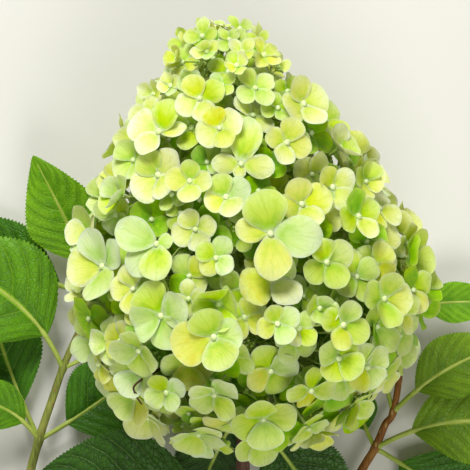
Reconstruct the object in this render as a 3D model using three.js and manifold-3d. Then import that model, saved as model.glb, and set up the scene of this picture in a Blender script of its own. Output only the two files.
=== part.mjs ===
import * as THREE from "three";
import Module from "manifold-3d";

// A cut flowering branch of a panicle hydrangea, lying on a flat surface.
// Millimetres. +X is to the right of the bloom, +Y runs towards its tip, +Z is up.

// Directions of the flowering shoot
const TILT = THREE.MathUtils.degToRad(16); // rise of the shoot from the cut foot to the tip
const LEAN = THREE.MathUtils.degToRad(3.6); // lean of the bloom to the left, seen from above
const UP = new THREE.Vector3(0, 0, 1);
const AXIS = new THREE.Vector3(
  -Math.sin(LEAN) * Math.cos(TILT),
  Math.cos(LEAN) * Math.cos(TILT),
  Math.sin(TILT),
);
const RIGHT = new THREE.Vector3().crossVectors(AXIS, UP).normalize();
const FRONT = new THREE.Vector3().crossVectors(RIGHT, AXIS);
const STEM_DIR = new THREE.Vector3(0, Math.cos(TILT), Math.sin(TILT));

// Bloom: a blunt cone, measured along its axis from its lower edge
const BLOOM_FOOT = new THREE.Vector3(0, 0, 61.5); // lowest side branch of the bloom
const FOOT_HEIGHT = 23; // that branch above the bloom's lower edge
const BLOOM_HEIGHT = 196;
const BLOOM_RADIUS = 76.5;
const FULLER_RIGHT = 0.07; // the bloom is this share wider to the right of its axis than to the left
const WIDEST = 0.372; // height of the widest place, as a share
const LOWER_ROUND = [2.2, 0.6]; // powers that round the bloom below its widest place
const UPPER_ROUND = [1.28, 0.74]; // and above it
const GAP = 0.35; // clear space between pieces

// Stems
const STEM_LENGTH = 205.6; // cut foot to the bloom's lowest side branch
const STEM_FOOT_RADIUS = 4.9;
const STEM_TOP_RADIUS = 2.8;
const RACHIS_RADIUS = 2.6;
const RACHIS_TIP_RADIUS = 0.8;
const RACHIS_LENGTH = 156;
const NODE_SWELL = 1.16;
const FLATS = 0.93; // a faceted limb is this share of its radius thick, on average

// Side branches of the bloom: three to a tier, each tier turned against the last
const PER_TIER = 3;
const TIER_NODES = [24, 40, 59, 79, 99, 119, 139, 157];
const TIER_TIPS = [9, 32, 55, 80, 106, 130, 153, 170];
const TIER_TURN = 60;
const FIRST_BEARING = 20;
const BRANCH_REACH = 0.62; // of the bloom's radius
const ELBOW_REACH = 0.34; // of the bloom's radius, where a branch bends
const ELBOW_DROP = 0.25; // of the way from a branch's node to its tip height
const BRANCH_STEPS = 4;
const BRANCH_RADIUS = 1.25;
const BRANCH_TIP_RADIUS = 0.9;

// Florets: four broad sepals on a thin stalk
const GOLDEN_TURN = 137.508;
const STALK_RADIUS = 0.5;
const ROOT_RADIUS = 0.3; // where the stalk starts inside its branch
const NECK_RADIUS = 0.8; // where it meets the floret
const STALK_SPREAD = 22; // a floret this far from its branch has its root one place further in
const SEPAL_BUTT = 1.5; // thickness in the middle of a floret
const BUTT_OVER = 0.4; // share of it over the sepals' faces
const CUP = [0.02, 0.22]; // least and most rise of a sepal's tip, of its length
const PAIR_RISE = 0.05; // slope of the upper pair of sepals over the lower
const OUTWARD = 0.35; // how far a floret turns to face along its own stalk
const STEEPEST = 0.3; // least cosine between a floret's face and its stalk
const LEAST_CLEAR = 1.3; // between sepals of two florets
const STALK_CLEAR = 0.6;
const PRESSED_HEIGHT = 0.25; // of the lowest florets over the surface
const RINGS = [
  // share of the bloom's radius, florets tried, smallest and largest span
  { share: 1.0, count: 230, span: [20, 30] },
  { share: 0.9, count: 170, span: [18, 25] },
  { share: 0.79, count: 120, span: [15, 20] },
];
const TRIES = [
  // shift along a floret's own bearing, share of its span
  [0, 1], [-4, 1], [3, 0.95], [-8, 0.9], [-12, 0.85], [-16, 0.8], [-6, 0.75],
];
const MOST_FLORETS = 242;
const FACING = 0.45; // turn of the upper florets towards the light above

// The large florets that are easily told apart: height, bearing, span, turn of the sepals
const LANDMARKS = [
  { height: 113, bearing: 14, span: 38, turn: -4 },
  { height: 154, bearing: -4, span: 22, turn: 30 },
  { height: 134, bearing: -19, span: 21, turn: 0 },
  { height: 138, bearing: 8, span: 31, turn: -15 },
  { height: 127, bearing: -2, span: 22, turn: 5 },
  { height: 151, bearing: -46, span: 28, turn: -10 },
  { height: 134, bearing: -41, span: 27, turn: 30 },
  { height: 109, bearing: -31, span: 29, turn: -10 },
  { height: 95, bearing: -59, span: 33, turn: 25 },
  { height: 104, bearing: -7, span: 20, turn: 35 },
  { height: 74, bearing: -8, span: 33, turn: 15 },
  { height: 32, bearing: 7, span: 26, turn: 8 },
  { height: 72, bearing: 1, span: 30, turn: -25 },
  { height: 146, bearing: 32, span: 22, turn: -30 },
  { height: 138, bearing: 33, span: 21, turn: -10 },
  { height: 121, bearing: 31, span: 26, turn: -10 },
  { height: 158, bearing: 57, span: 27, turn: 0 },
  { height: 165, bearing: -19, span: 22, turn: 20 },
  { height: 124, bearing: -26, span: 18, turn: 10 },
  { height: 78, bearing: 51, span: 28, turn: -20 },
  { height: 78, bearing: 12, span: 21, turn: 20 },
  { height: 73, bearing: 33, span: 26, turn: -30 },
  { height: 112, bearing: 53, span: 25, turn: 10 },
  { height: 46, bearing: -28, span: 20, turn: 30 },
];

// Leafy side shoots, as places along their middle
const LEFT_SHOOT = [
  [0, -143, 20], [-40, -138, 17], [-78, -116, 13.5], [-100, -82, 12], [-103, -52, 12],
  [-98, -29, 12], [-91.7, -9.7, 12], [-86.4, 5.7, 12.5], [-80.6, 19.2, 13], [-74, 34, 13.5], [-70.5, 46, 14],
];
const RIGHT_SHOOT = [
  [0, -143, 20], [20, -110, 16], [41, -74, 13], [57.5, -43.4, 12], [63.8, -32.8, 12],
  [68.6, -21.7, 12], [72.5, -15.5, 12], [76, 5, 12.5], [77, 25, 13], [76, 42, 14],
];
const LEFT_SPLIT = 3; // the place where the shoot bends
const RIGHT_SPLIT = 2;
const LEFT_RADII = [3.1, 1.5];
const RIGHT_RADII = [2.8, 1.35];
const LEFT_NODES = [5, 7, 9.5]; // places that bear leaves
const RIGHT_NODES = [4, 6, 8.5];

// Leaves: limb and place on it, whole length, half width, bearing and rise at both ends, roll.
// A place is a distance from the bloom on the stem, and a place number on a shoot.
const LEAVES = [
  { name: "stem_leaf_1", limb: "stem", at: -8, length: 84, half: 22,
    bearing: [-50, -62], rise: [-6, -24], roll: 4 },
  { name: "stem_leaf_2", limb: "stem", at: -8, length: 74, half: 18,
    bearing: [-118, -108], rise: [-42, -30], roll: -6 },
  { name: "stem_leaf_3", limb: "stem", at: -54, length: 104, half: 26,
    bearing: [172, 184], rise: [6, -28], roll: 2 },
  { name: "stem_leaf_4", limb: "stem", at: -54, length: 88, half: 23,
    bearing: [-26, -44], rise: [-24, -24], roll: -4 },
  { name: "left_leaf_1", limb: "left", at: 5, length: 88, half: 19,
    bearing: [116, 102], rise: [-11, -5], roll: 0 },
  { name: "left_leaf_2", limb: "left", at: 5, length: 52, half: 12,
    bearing: [122, 190], rise: [28, 2], roll: 12 },
  { name: "left_leaf_3", limb: "left", at: 5, length: 66, half: 20,
    bearing: [30, 42], rise: [-4, -8], roll: 0 },
  { name: "left_leaf_4", limb: "left", at: 7, length: 88, half: 26,
    bearing: [112, 172], rise: [24, -14], roll: 10 },
  { name: "left_leaf_5", limb: "left", at: 7, length: 40, half: 10,
    bearing: [24, 44], rise: [2, -4], roll: 0 },
  { name: "left_leaf_6", limb: "left", at: LEFT_SHOOT.length - 1, length: 70, half: 18,
    bearing: [112, 118], rise: [22, 8], roll: -8 },
  { name: "left_leaf_7", limb: "left", at: 9.5, length: 88, half: 20,
    bearing: [166, 140], rise: [-6, -4], roll: 0 },
  { name: "left_leaf_8", limb: "left", at: 9.5, length: 50, half: 13,
    bearing: [14, 96], rise: [-6, -2], roll: 0 },
  { name: "right_leaf_1", limb: "right", at: 4, length: 88, half: 20,
    bearing: [30, -26], rise: [18, -14], roll: -10 },
  { name: "right_leaf_2", limb: "right", at: 4, length: 70, half: 20,
    bearing: [-30, -48], rise: [-8, -10], roll: 0 },
  { name: "right_leaf_3", limb: "right", at: 4, length: 36, half: 9,
    bearing: [116, 96], rise: [-16, -4], roll: 0 },
  { name: "right_leaf_4", limb: "right", at: 6, length: 68, half: 15,
    bearing: [48, 12], rise: [26, -8], roll: -6 },
  { name: "right_leaf_5", limb: "right", at: 6, length: 66, half: 17,
    bearing: [104, 106], rise: [-10, 0], roll: 0 },
  { name: "right_leaf_6", limb: "right", at: 8.5, length: 50, half: 10,
    bearing: [10, -4], rise: [20, 0], roll: 0 },
  { name: "right_leaf_7", limb: "right", at: RIGHT_SHOOT.length - 1, length: 46, half: 11,
    bearing: [112, 128], rise: [-6, -4], roll: 0 },
];
const LEAF_STATIONS = 14;
const STALK_SHARE = 0.17; // of the leaf's length
const STALK_WIDTH = 1.15;
const LEAF_THICKNESS = 0.021; // at the midrib, of the leaf's length
const LEAF_TIP_THICKNESS = 0.5;
const LEAF_TIP_WIDTH = 0.4;
const LEAF_WIDEST = 0.4; // of the blade's length
const LEAF_ROUND = [2.1, 0.7]; // powers that round the blade's base
const LEAF_TAPER = 1.7;
const TEETH = 0.045; // of the half width
const FOLD = 0.16; // rise of the edges over the midrib

const COLOURS = {
  stem: "#6b4a3a",
  rachis: "#9aa55c",
  left: "#7f8a35",
  right: "#8a5a2a",
  leaf: "#4f7f2a",
  bloom: ["#cfe08a", "#c6dc7e", "#dbe9a6", "#bcd692"],
};

const wasm = await Module();
wasm.setup();

const rad = THREE.MathUtils.degToRad;
const vec = (p) => new THREE.Vector3(p[0], p[1], p[2]);
const along = (p, direction, distance) => p.clone().addScaledVector(direction, distance);

/** A number from 0 to 1 that belongs to draw `k` of item `i`. */
function chance(i, k) {
  let h = Math.imul(i + 1, 374761393) ^ Math.imul(k + 1, 668265263);
  h = Math.imul(h ^ (h >>> 13), 1274126177);
  return ((h ^ (h >>> 16)) >>> 0) / 4294967296;
}

/** Radius of the bloom at a height over its lower edge, and at a bearing where one is given. */
function bloomRadius(height, bearing = 0) {
  const side = 1 + FULLER_RIGHT * Math.sin(rad(bearing));
  const u = THREE.MathUtils.clamp(height / BLOOM_HEIGHT, 0.001, 0.999);
  if (u < WIDEST) {
    return BLOOM_RADIUS * side * (1 - (1 - u / WIDEST) ** LOWER_ROUND[0]) ** LOWER_ROUND[1];
  }
  return BLOOM_RADIUS * side * (1 - ((u - WIDEST) / (1 - WIDEST)) ** UPPER_ROUND[0]) ** UPPER_ROUND[1];
}

/** Point on the bloom's axis at a height over its lower edge. */
const axisPoint = (height) => along(BLOOM_FOOT, AXIS, height - FOOT_HEIGHT);

/** Unit vector square to the axis, at a bearing from the front towards the right. */
function spoke(bearing) {
  const a = rad(bearing);
  return FRONT.clone().multiplyScalar(Math.cos(a)).addScaledVector(RIGHT, Math.sin(a));
}

/** Outward direction of the bloom's surface at a height and bearing. */
function bloomNormal(height, bearing) {
  const step = 2;
  const slope = (bloomRadius(height + step) - bloomRadius(height - step)) / (2 * step);
  return spoke(bearing).addScaledVector(AXIS, -slope).normalize();
}

/** Smooth curve through places, at a place number that may lie between two of them. */
function throughPlaces(places, at) {
  const i = Math.min(Math.floor(at), places.length - 2);
  const t = at - i;
  const p0 = vec(places[Math.max(i - 1, 0)]);
  const p1 = vec(places[i]);
  const p2 = vec(places[i + 1]);
  const p3 = vec(places[Math.min(i + 2, places.length - 1)]);
  const point = p1.clone().multiplyScalar(2);
  point.addScaledVector(p2.clone().sub(p0), t);
  const bend = p0.clone().multiplyScalar(2).addScaledVector(p1, -5).addScaledVector(p2, 4).sub(p3);
  point.addScaledVector(bend, t * t);
  point.addScaledVector(p1.clone().multiplyScalar(3).sub(p0).addScaledVector(p2, -3).add(p3), t * t * t);
  return point.multiplyScalar(0.5);
}

/** A closed tube through points, with a radius at each and flat ends, square to `ends` where given. */
function tube(points, radii, sides, ends = []) {
  const positions = [];
  const tris = [];
  let side = new THREE.Vector3().crossVectors(points[1].clone().sub(points[0]), UP).normalize();
  points.forEach((p, i) => {
    const before = points[Math.max(i - 1, 0)];
    const after = points[Math.min(i + 1, points.length - 1)];
    const run = after.clone().sub(before).normalize();
    const tangent = (i === 0 && ends[0]) || (i === points.length - 1 && ends[1]) || run;
    side = side.addScaledVector(tangent, -side.dot(tangent)).normalize();
    const up = new THREE.Vector3().crossVectors(side, tangent);
    for (let k = 0; k < sides; k += 1) {
      const a = (2 * Math.PI * (k + 0.5)) / sides;
      const q = along(p, side, radii[i] * Math.cos(a)).addScaledVector(up, radii[i] * Math.sin(a));
      positions.push(q.x, q.y, q.z);
    }
  });
  for (let i = 0; i + 1 < points.length; i += 1) {
    for (let k = 0; k < sides; k += 1) {
      const a = i * sides + k;
      const b = i * sides + ((k + 1) % sides);
      tris.push(a, a + sides, b + sides, a, b + sides, b);
    }
  }
  const last = (points.length - 1) * sides;
  for (let k = 1; k + 1 < sides; k += 1) {
    tris.push(0, k, k + 1);
    tris.push(last, last + k + 1, last + k);
  }
  return { positions, tris };
}

/** How far along a side piece starts, so that its cut end clears the limb it grows on. */
function clearStart(limbRadius, limbDirection, direction, radius) {
  const c = Math.abs(limbDirection.dot(direction));
  return (FLATS * limbRadius + GAP + radius * c) / Math.sqrt(Math.max(1 - c * c, 0.1));
}

/** Limbs: where their middle is, which way they run and how thick they are. */
const stemPoint = (distance) => along(BLOOM_FOOT, STEM_DIR, distance);
const stemRadius = (distance) =>
  THREE.MathUtils.lerp(STEM_TOP_RADIUS, STEM_FOOT_RADIUS, -distance / STEM_LENGTH);
const shoot = (places, radii) => ({
  end: places.length - 1,
  point: (at) => throughPlaces(places, at),
  direction: (at) => throughPlaces(places, at + 0.01).sub(throughPlaces(places, at - 0.01)).normalize(),
  radius: (at) => THREE.MathUtils.lerp(radii[0], radii[1], at / (places.length - 1)),
});
const limbs = {
  stem: { point: stemPoint, direction: () => STEM_DIR, radius: stemRadius },
  left: shoot(LEFT_SHOOT, LEFT_RADII),
  right: shoot(RIGHT_SHOOT, RIGHT_RADII),
};

/** Width of a leaf at a share of its blade, as a share of its half width. */
function bladeWidth(t) {
  if (t < LEAF_WIDEST) {
    return (1 - (1 - t / LEAF_WIDEST) ** LEAF_ROUND[0]) ** LEAF_ROUND[1];
  }
  return 1 - ((t - LEAF_WIDEST) / (1 - LEAF_WIDEST)) ** LEAF_TAPER;
}

/** The middle line of a leaf: points from the start of its stalk to its tip. */
function leafLine(leaf, stations) {
  const limb = limbs[leaf.limb];
  const heading = (t) => {
    const b = rad(THREE.MathUtils.lerp(leaf.bearing[0], leaf.bearing[1], t));
    const r = rad(THREE.MathUtils.lerp(leaf.rise[0], leaf.rise[1], t));
    return new THREE.Vector3(Math.cos(r) * Math.cos(b), Math.cos(r) * Math.sin(b), Math.sin(r));
  };
  const first = heading(0);
  const swell = limb.radius(leaf.at) * NODE_SWELL;
  const beyond = GAP + STALK_WIDTH * 0.7;
  const beside = clearStart(swell, limb.direction(leaf.at), first, STALK_WIDTH);
  const start = leaf.at === limb.end ? beyond : beside;
  const points = [along(limb.point(leaf.at), first, start)];
  const step = (leaf.length - start) / stations;
  for (let i = 0; i < stations; i += 1) {
    points.push(along(points[i], heading((i + 0.5) / stations), step));
  }
  return points;
}

/** A leaf: a stalk that widens into a toothed blade, folded a little along its midrib. */
function leafSolid(leaf) {
  const line = leafLine(leaf, LEAF_STATIONS);
  const stalkEnd = STALK_SHARE * LEAF_STATIONS;
  const positions = [];
  const tris = [];
  const roll = rad(leaf.roll);
  line.forEach((p, i) => {
    const tangent = line[Math.min(i + 1, LEAF_STATIONS)].clone().sub(line[Math.max(i - 1, 0)]).normalize();
    const level = new THREE.Vector3().crossVectors(tangent, UP).normalize();
    const side = level.applyAxisAngle(tangent, roll);
    const over = new THREE.Vector3().crossVectors(side, tangent);
    const t = (i - stalkEnd) / (LEAF_STATIONS - stalkEnd);
    const tooth = i % 2 === 0 ? 1 + TEETH : 1 - TEETH;
    const blade = t > 0 ? leaf.half * bladeWidth(t) * tooth : 0;
    const width = Math.max(blade, t > LEAF_WIDEST ? LEAF_TIP_WIDTH : STALK_WIDTH);
    const lift = FOLD * Math.max(blade - STALK_WIDTH, 0);
    const blades = THREE.MathUtils.lerp(LEAF_THICKNESS * leaf.length, LEAF_TIP_THICKNESS, t) / 2;
    const half = t > 0 ? blades : STALK_WIDTH;
    for (const [a, b] of [[width, lift], [0, half], [-width, lift], [0, -half]]) {
      const q = along(p, side, a).addScaledVector(over, b);
      positions.push(q.x, q.y, q.z);
    }
  });
  for (let i = 0; i < LEAF_STATIONS; i += 1) {
    for (let k = 0; k < 4; k += 1) {
      const a = i * 4 + k;
      const b = i * 4 + ((k + 1) % 4);
      tris.push(a, a + 4, b + 4, a, b + 4, b);
    }
  }
  const last = LEAF_STATIONS * 4;
  tris.push(0, 1, 2, 0, 2, 3);
  tris.push(last, last + 2, last + 1, last, last + 3, last + 2);
  return { positions, tris };
}

/** Side branches of the bloom, each a bent line from the rachis outwards. */
function rachisRadius(height) {
  return THREE.MathUtils.lerp(RACHIS_RADIUS, RACHIS_TIP_RADIUS, (height - FOOT_HEIGHT) / RACHIS_LENGTH);
}

function makeBranch(node, tip, bearing) {
  const out = spoke(bearing);
  const end = along(axisPoint(tip), out, BRANCH_REACH * bloomRadius(tip, bearing));
  const base = axisPoint(node);
  const elbow = along(axisPoint(node + ELBOW_DROP * (tip - node)), out, ELBOW_REACH * bloomRadius(tip));
  const first = elbow.clone().sub(base).normalize();
  const start = along(base, first, clearStart(rachisRadius(node) * NODE_SWELL, AXIS, first, BRANCH_RADIUS));
  const points = [];
  for (let i = 0; i <= BRANCH_STEPS; i += 1) {
    const t = i / BRANCH_STEPS;
    const p = start.clone().multiplyScalar((1 - t) ** 2);
    points.push(p.addScaledVector(elbow, 2 * t * (1 - t)).addScaledVector(end, t * t));
  }
  return points;
}

const branches = [];
TIER_NODES.forEach((node, tier) => {
  for (let j = 0; j < PER_TIER; j += 1) {
    const bearing = FIRST_BEARING + (j * 360) / PER_TIER + tier * TIER_TURN;
    const points = makeBranch(node, TIER_TIPS[tier], bearing);
    branches.push({ name: `spray_${tier + 1}_${"abc"[j]}`, points });
  }
});
branches.push({
  name: "spray_tip",
  points: [0, 2, 4, 6, 8].map((rise) => axisPoint(FOOT_HEIGHT + RACHIS_LENGTH + GAP + rise)),
});

/** A floret's own frame: middle, outward direction, two directions in its face. */
function makeFloret(middle, normal, span, turn, index) {
  const u = new THREE.Vector3().crossVectors(AXIS, normal).normalize();
  const v = new THREE.Vector3().crossVectors(normal, u);
  const a = rad(turn);
  return {
    middle,
    normal,
    u: u.clone().multiplyScalar(Math.cos(a)).addScaledVector(v, Math.sin(a)),
    v: v.clone().multiplyScalar(Math.cos(a)).addScaledVector(u, -Math.sin(a)),
    reach: span / 2,
    cup: THREE.MathUtils.lerp(CUP[0], CUP[1], chance(index, 5)),
  };
}

/** Height of the sepals over the floret's middle; one pair lies over the other. */
function sepalHeight(f, x, y) {
  const pair = Math.abs(y) > Math.abs(x) ? PAIR_RISE * Math.min(Math.abs(y), 0.4 * f.reach) : 0;
  return (f.cup * (x * x + y * y)) / f.reach + pair;
}

/** Point on a floret's sepals, from a place in its face. */
function floretPoint(f, x, y) {
  return along(f.middle, f.u, x).addScaledVector(f.v, y).addScaledVector(f.normal, sepalHeight(f, x, y));
}

/** Edge of one sepal, as shares of the reach along and across it, and a plainer one for small florets. */
const SMALL_EDGE = [[0.36, -0.36], [0.76, -0.5], [1, 0], [0.76, 0.5]];
const SMALL_SPAN = 24;
const SEPAL_EDGE = [[0.35, -0.35], [0.64, -0.5], [0.94, -0.27], [0.94, 0.27], [0.64, 0.5]];
const SEPAL_PROBES = [[1, 0], [0.94, 0.27], [0.94, -0.27], [0.64, 0.5], [0.64, -0.5], [0.45, 0]];

const quarter = (k, a, b) => [[a, b], [-b, a], [-a, -b], [b, -a]][k];

/** Whether a place in a floret's face lies on a sepal, with a margin round it. */
function onSepal(f, x, y, margin) {
  const a = Math.max(Math.abs(x), Math.abs(y));
  const b = Math.min(Math.abs(x), Math.abs(y));
  const t = a / f.reach;
  const half = 0.51 * f.reach * Math.sqrt(Math.max(0, 1 - ((t - 0.56) / 0.5) ** 2));
  return a < f.reach + margin && b < half + margin;
}

/** Signed distance of a point over a floret's face, or null where it is beside it. */
function overFloret(f, p, margin) {
  const d = p.clone().sub(f.middle);
  if (d.lengthSq() > (f.reach * 1.3 + margin) ** 2) {
    return null;
  }
  const x = d.dot(f.u);
  const y = d.dot(f.v);
  return onSepal(f, x, y, margin) ? d.dot(f.normal) - sepalHeight(f, x, y) : null;
}

/** Whether the sepals of floret `a` cut or touch those of floret `b`. */
function sepalsTouch(a, b) {
  if (a.middle.distanceToSquared(b.middle) > ((a.reach + b.reach) * 1.1) ** 2) {
    return false;
  }
  for (const [f, g] of [[a, b], [b, a]]) {
    let over = false;
    let under = false;
    for (let k = 0; k < 4; k += 1) {
      for (const [s, t] of SEPAL_PROBES) {
        const [x, y] = quarter(k, s * f.reach, t * f.reach);
        const d = overFloret(g, floretPoint(f, x, y), 0.5);
        if (d !== null) {
          if (Math.abs(d) < LEAST_CLEAR) {
            return true;
          }
          over ||= d > 0;
          under ||= d < 0;
        }
      }
    }
    if (over && under) {
      return true;
    }
  }
  return false;
}

/** Whether a thin straight stalk passes through a floret's sepals. */
function stalkCuts(f, from, to, radius) {
  let last = null;
  const steps = 10;
  for (let i = 0; i <= steps; i += 1) {
    const p = from.clone().lerp(to, i / steps);
    const d = overFloret(f, p, radius + 0.4);
    if (d !== null) {
      if (Math.abs(d) < radius + STALK_CLEAR || (last !== null && last * d < 0)) {
        return true;
      }
      last = d;
    }
  }
  return false;
}

/** Branch that a floret grows on, and the point where its stalk leaves it. */
function rootOf(middle, index) {
  let best = Infinity;
  let found = null;
  for (const branch of branches) {
    for (let at = 1; at <= BRANCH_STEPS; at += 0.25) {
      const d = branchPoint(branch, at).distanceTo(middle);
      if (d < best) {
        best = d;
        found = { branch, at };
      }
    }
  }
  const back = found.at - best / STALK_SPREAD - 0.5 * chance(index, 7);
  const least = 0.6 + 0.4 * chance(index, 8);
  return { branch: found.branch, point: branchPoint(found.branch, Math.max(back, least)) };
}

/** Point on a side branch at a place number that may lie between two of its points. */
function branchPoint(branch, at) {
  const i = Math.min(Math.floor(at), BRANCH_STEPS - 1);
  return branch.points[i].clone().lerp(branch.points[i + 1], at - i);
}

/** Thin limbs inside and under the bloom that no sepal may cut. */
const innerLimbs = [
  [axisPoint(FOOT_HEIGHT), axisPoint(FOOT_HEIGHT + RACHIS_LENGTH), RACHIS_RADIUS],
  [stemPoint(-60), stemPoint(0), STEM_TOP_RADIUS + 0.5],
];
for (const leaf of LEAVES.slice(0, 2)) {
  const line = leafLine(leaf, LEAF_STATIONS);
  innerLimbs.push([line[0], line[4], 2.5]);
  innerLimbs.push([line[4], line[8], 7]);
}
const branchLimbs = branches.map((b) => [b.points[0], b.points[2], b.points[4], BRANCH_RADIUS]);

/** Moves a floret that would lie in the surface below the branch up and inwards. */
function pressed(floret, out) {
  let lowest = Infinity;
  for (let k = 0; k < 4; k += 1) {
    for (const [s, t] of SEPAL_PROBES) {
      const [x, y] = quarter(k, s * floret.reach, t * floret.reach);
      lowest = Math.min(lowest, floretPoint(floret, x, y).z);
    }
  }
  if (lowest < PRESSED_HEIGHT && out.z < 0) {
    floret.middle.addScaledVector(out, (lowest - PRESSED_HEIGHT) / -out.z);
  }
  return floret;
}

const florets = [];

/** Places one floret, or none where it would touch what is there. */
function tryFloret({ height, bearing, share = 1, span, turn }, index, loose, facing) {
  const out = spoke(bearing);
  for (const [attempt, [shift, scale]] of TRIES.entries()) {
    const middle = along(axisPoint(height), out, share * bloomRadius(height, bearing) + shift);
    const normal = bloomNormal(height, bearing).addScaledVector(UP, facing);
    const lean = loose * (0.25 + 0.12 * attempt);
    const across = new THREE.Vector3().crossVectors(AXIS, out);
    normal.addScaledVector(AXIS, lean * (chance(index, 10 + attempt) - 0.5) * 2);
    normal.addScaledVector(across, lean * (chance(index, 20 + attempt) - 0.5) * 2);
    const root = rootOf(middle, index);
    const stalk = middle.clone().sub(root.point).normalize();
    normal.normalize().addScaledVector(stalk, OUTWARD).normalize();
    const floret = pressed(makeFloret(middle, normal, span * scale, turn + 20 * attempt, index), out);
    const neck = along(floret.middle, floret.normal, SEPAL_BUTT * (BUTT_OVER - 1));
    const clear =
      normal.dot(stalk) > STEEPEST &&
      florets.every((g) => !sepalsTouch(floret, g)) &&
      florets.every((g) => !stalkCuts(g, root.point, neck, STALK_RADIUS)) &&
      florets.every((g) => !stalkCuts(floret, g.root, g.neck, STALK_RADIUS)) &&
      innerLimbs.every(([a, b, r]) => !stalkCuts(floret, a, b, r)) &&
      branchLimbs.every(([a, b, c, r]) => !stalkCuts(floret, a, b, r) && !stalkCuts(floret, b, c, r));
    if (clear) {
      florets.push(Object.assign(floret, { root: root.point, neck, branch: root.branch, index }));
      return;
    }
  }
}

LANDMARKS.forEach((mark, i) => tryFloret(mark, 1000 + i, 0.3, 0.8));

/** Heights that share the bloom's surface out evenly. */
const surface = [0];
for (let h = 1; h <= BLOOM_HEIGHT; h += 1) {
  const rise = Math.hypot(1, bloomRadius(h) - bloomRadius(h - 1));
  surface.push(surface[h - 1] + bloomRadius(h - 0.5) * rise);
}
function heightAtShare(share) {
  const target = share * surface[BLOOM_HEIGHT];
  const h = surface.findIndex((s) => s >= target);
  return Math.max(h, 1);
}

let serial = 0;
for (const [ring, { share, count, span }] of RINGS.entries()) {
  for (let i = 0; i < count && florets.length < MOST_FLORETS; i += 1) {
    const height = heightAtShare((i + 0.5) / count);
    const bearing = i * GOLDEN_TURN + ring * 47;
    const size = (span[0] + (span[1] - span[0]) * chance(serial, 1)) * (height > 160 ? 0.8 : 1);
    const depth = share - 0.03 * chance(serial, 2);
    const floret = { height, bearing, share: depth, span: size, turn: 90 * chance(serial, 3) };
    tryFloret(floret, serial, 1, spoke(bearing).z > -0.2 ? FACING : 0);
    serial += 1;
  }
}

/** One floret and its stalk as a single closed solid. */
function floretSolid(f) {
  const positions = [];
  const tris = [];
  const add = (p) => positions.push(p.x, p.y, p.z) / 3 - 1;
  const top = add(along(f.middle, f.normal, SEPAL_BUTT * BUTT_OVER));
  const rim = [];
  for (let k = 0; k < 4; k += 1) {
    for (const [s, t] of f.reach * 2 < SMALL_SPAN ? SMALL_EDGE : SEPAL_EDGE) {
      const [x, y] = quarter(k, s * f.reach, t * f.reach);
      rim.push(add(floretPoint(f, x, y)));
    }
  }
  const stalk = f.neck.clone().sub(f.root).normalize();
  const side = f.u.clone().addScaledVector(stalk, -f.u.dot(stalk)).normalize();
  const other = new THREE.Vector3().crossVectors(stalk, side);
  const neck = [];
  const root = [];
  for (let k = 0; k < 3; k += 1) {
    const a = rad(45 + 120 * k);
    const c = Math.cos(a);
    const s = Math.sin(a);
    neck.push(add(along(f.neck, f.u, NECK_RADIUS * c).addScaledVector(f.v, NECK_RADIUS * s)));
    root.push(add(along(f.root, side, ROOT_RADIUS * c).addScaledVector(other, ROOT_RADIUS * s)));
  }
  const nearest = (i) => Math.floor((i * 3) / rim.length) % 3;
  rim.forEach((p, i) => {
    const j = (i + 1) % rim.length;
    tris.push(top, p, rim[j]);
    tris.push(rim[j], p, neck[nearest(i)]);
    if (nearest(j) !== nearest(i)) {
      tris.push(rim[j], neck[nearest(i)], neck[nearest(j)]);
    }
  });
  for (let a = 0; a < 3; a += 1) {
    const b = (a + 1) % 3;
    tris.push(neck[a], root[a], root[b], neck[a], root[b], neck[b]);
  }
  tris.push(root[0], root[2], root[1]);
  return { positions, tris };
}

function toManifold({ positions, tris }) {
  const mesh = new wasm.Mesh({
    numProp: 3,
    vertProperties: new Float32Array(positions),
    triVerts: new Uint32Array(tris),
  });
  mesh.merge();
  return new wasm.Manifold(mesh);
}

const group = new THREE.Group();

function addMesh(name, { positions, tris }, colour, roughness) {
  const geometry = new THREE.BufferGeometry();
  geometry.setAttribute("position", new THREE.Float32BufferAttribute(positions, 3));
  geometry.setIndex(Array.from(tris));
  geometry.computeVertexNormals();
  const mesh = new THREE.Mesh(geometry, new THREE.MeshStandardMaterial({ color: colour, roughness }));
  mesh.name = name;
  group.add(mesh);
}

const placed = []; // every solid so far, to keep pieces apart

/** Whether a solid keeps clear of all the others, those of its own piece left out. */
function keepsClear(solid, owner) {
  const box = solid.boundingBox();
  return placed.every((other) => {
    const apart = [0, 1, 2].some(
      (k) => other.box.min[k] > box.max[k] + GAP || other.box.max[k] < box.min[k] - GAP,
    );
    return apart || other.owner === owner || other.solid.minGap(solid, GAP) > GAP - 0.06;
  });
}
function place(solid, owner) {
  placed.push({ solid, owner, box: solid.boundingBox() });
}

// Main stem, its foot cut flat
const stemMarks = [-STEM_LENGTH, -150, -60, -54, -48, -8, 0];
const stemSwell = [1, 1, 1, NODE_SWELL, 1, NODE_SWELL, 1];
const stemTube = tube(
  stemMarks.map((d) => stemPoint(d)),
  stemMarks.map((d, i) => stemRadius(d) * stemSwell[i]),
  10,
);
addMesh("main_stem", stemTube, COLOURS.stem, 0.7);
place(toManifold(stemTube), "main_stem");

// Rachis, the middle stalk of the bloom
const rachisMarks = [FOOT_HEIGHT + GAP, ...TIER_NODES, FOOT_HEIGHT + RACHIS_LENGTH];
const rachisTube = tube(
  rachisMarks.map((h) => axisPoint(h)),
  rachisMarks.map((h) => rachisRadius(h)),
  6,
);
addMesh("panicle_axis", rachisTube, COLOURS.rachis, 0.7);
place(toManifold(rachisTube), "panicle_axis");

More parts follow.
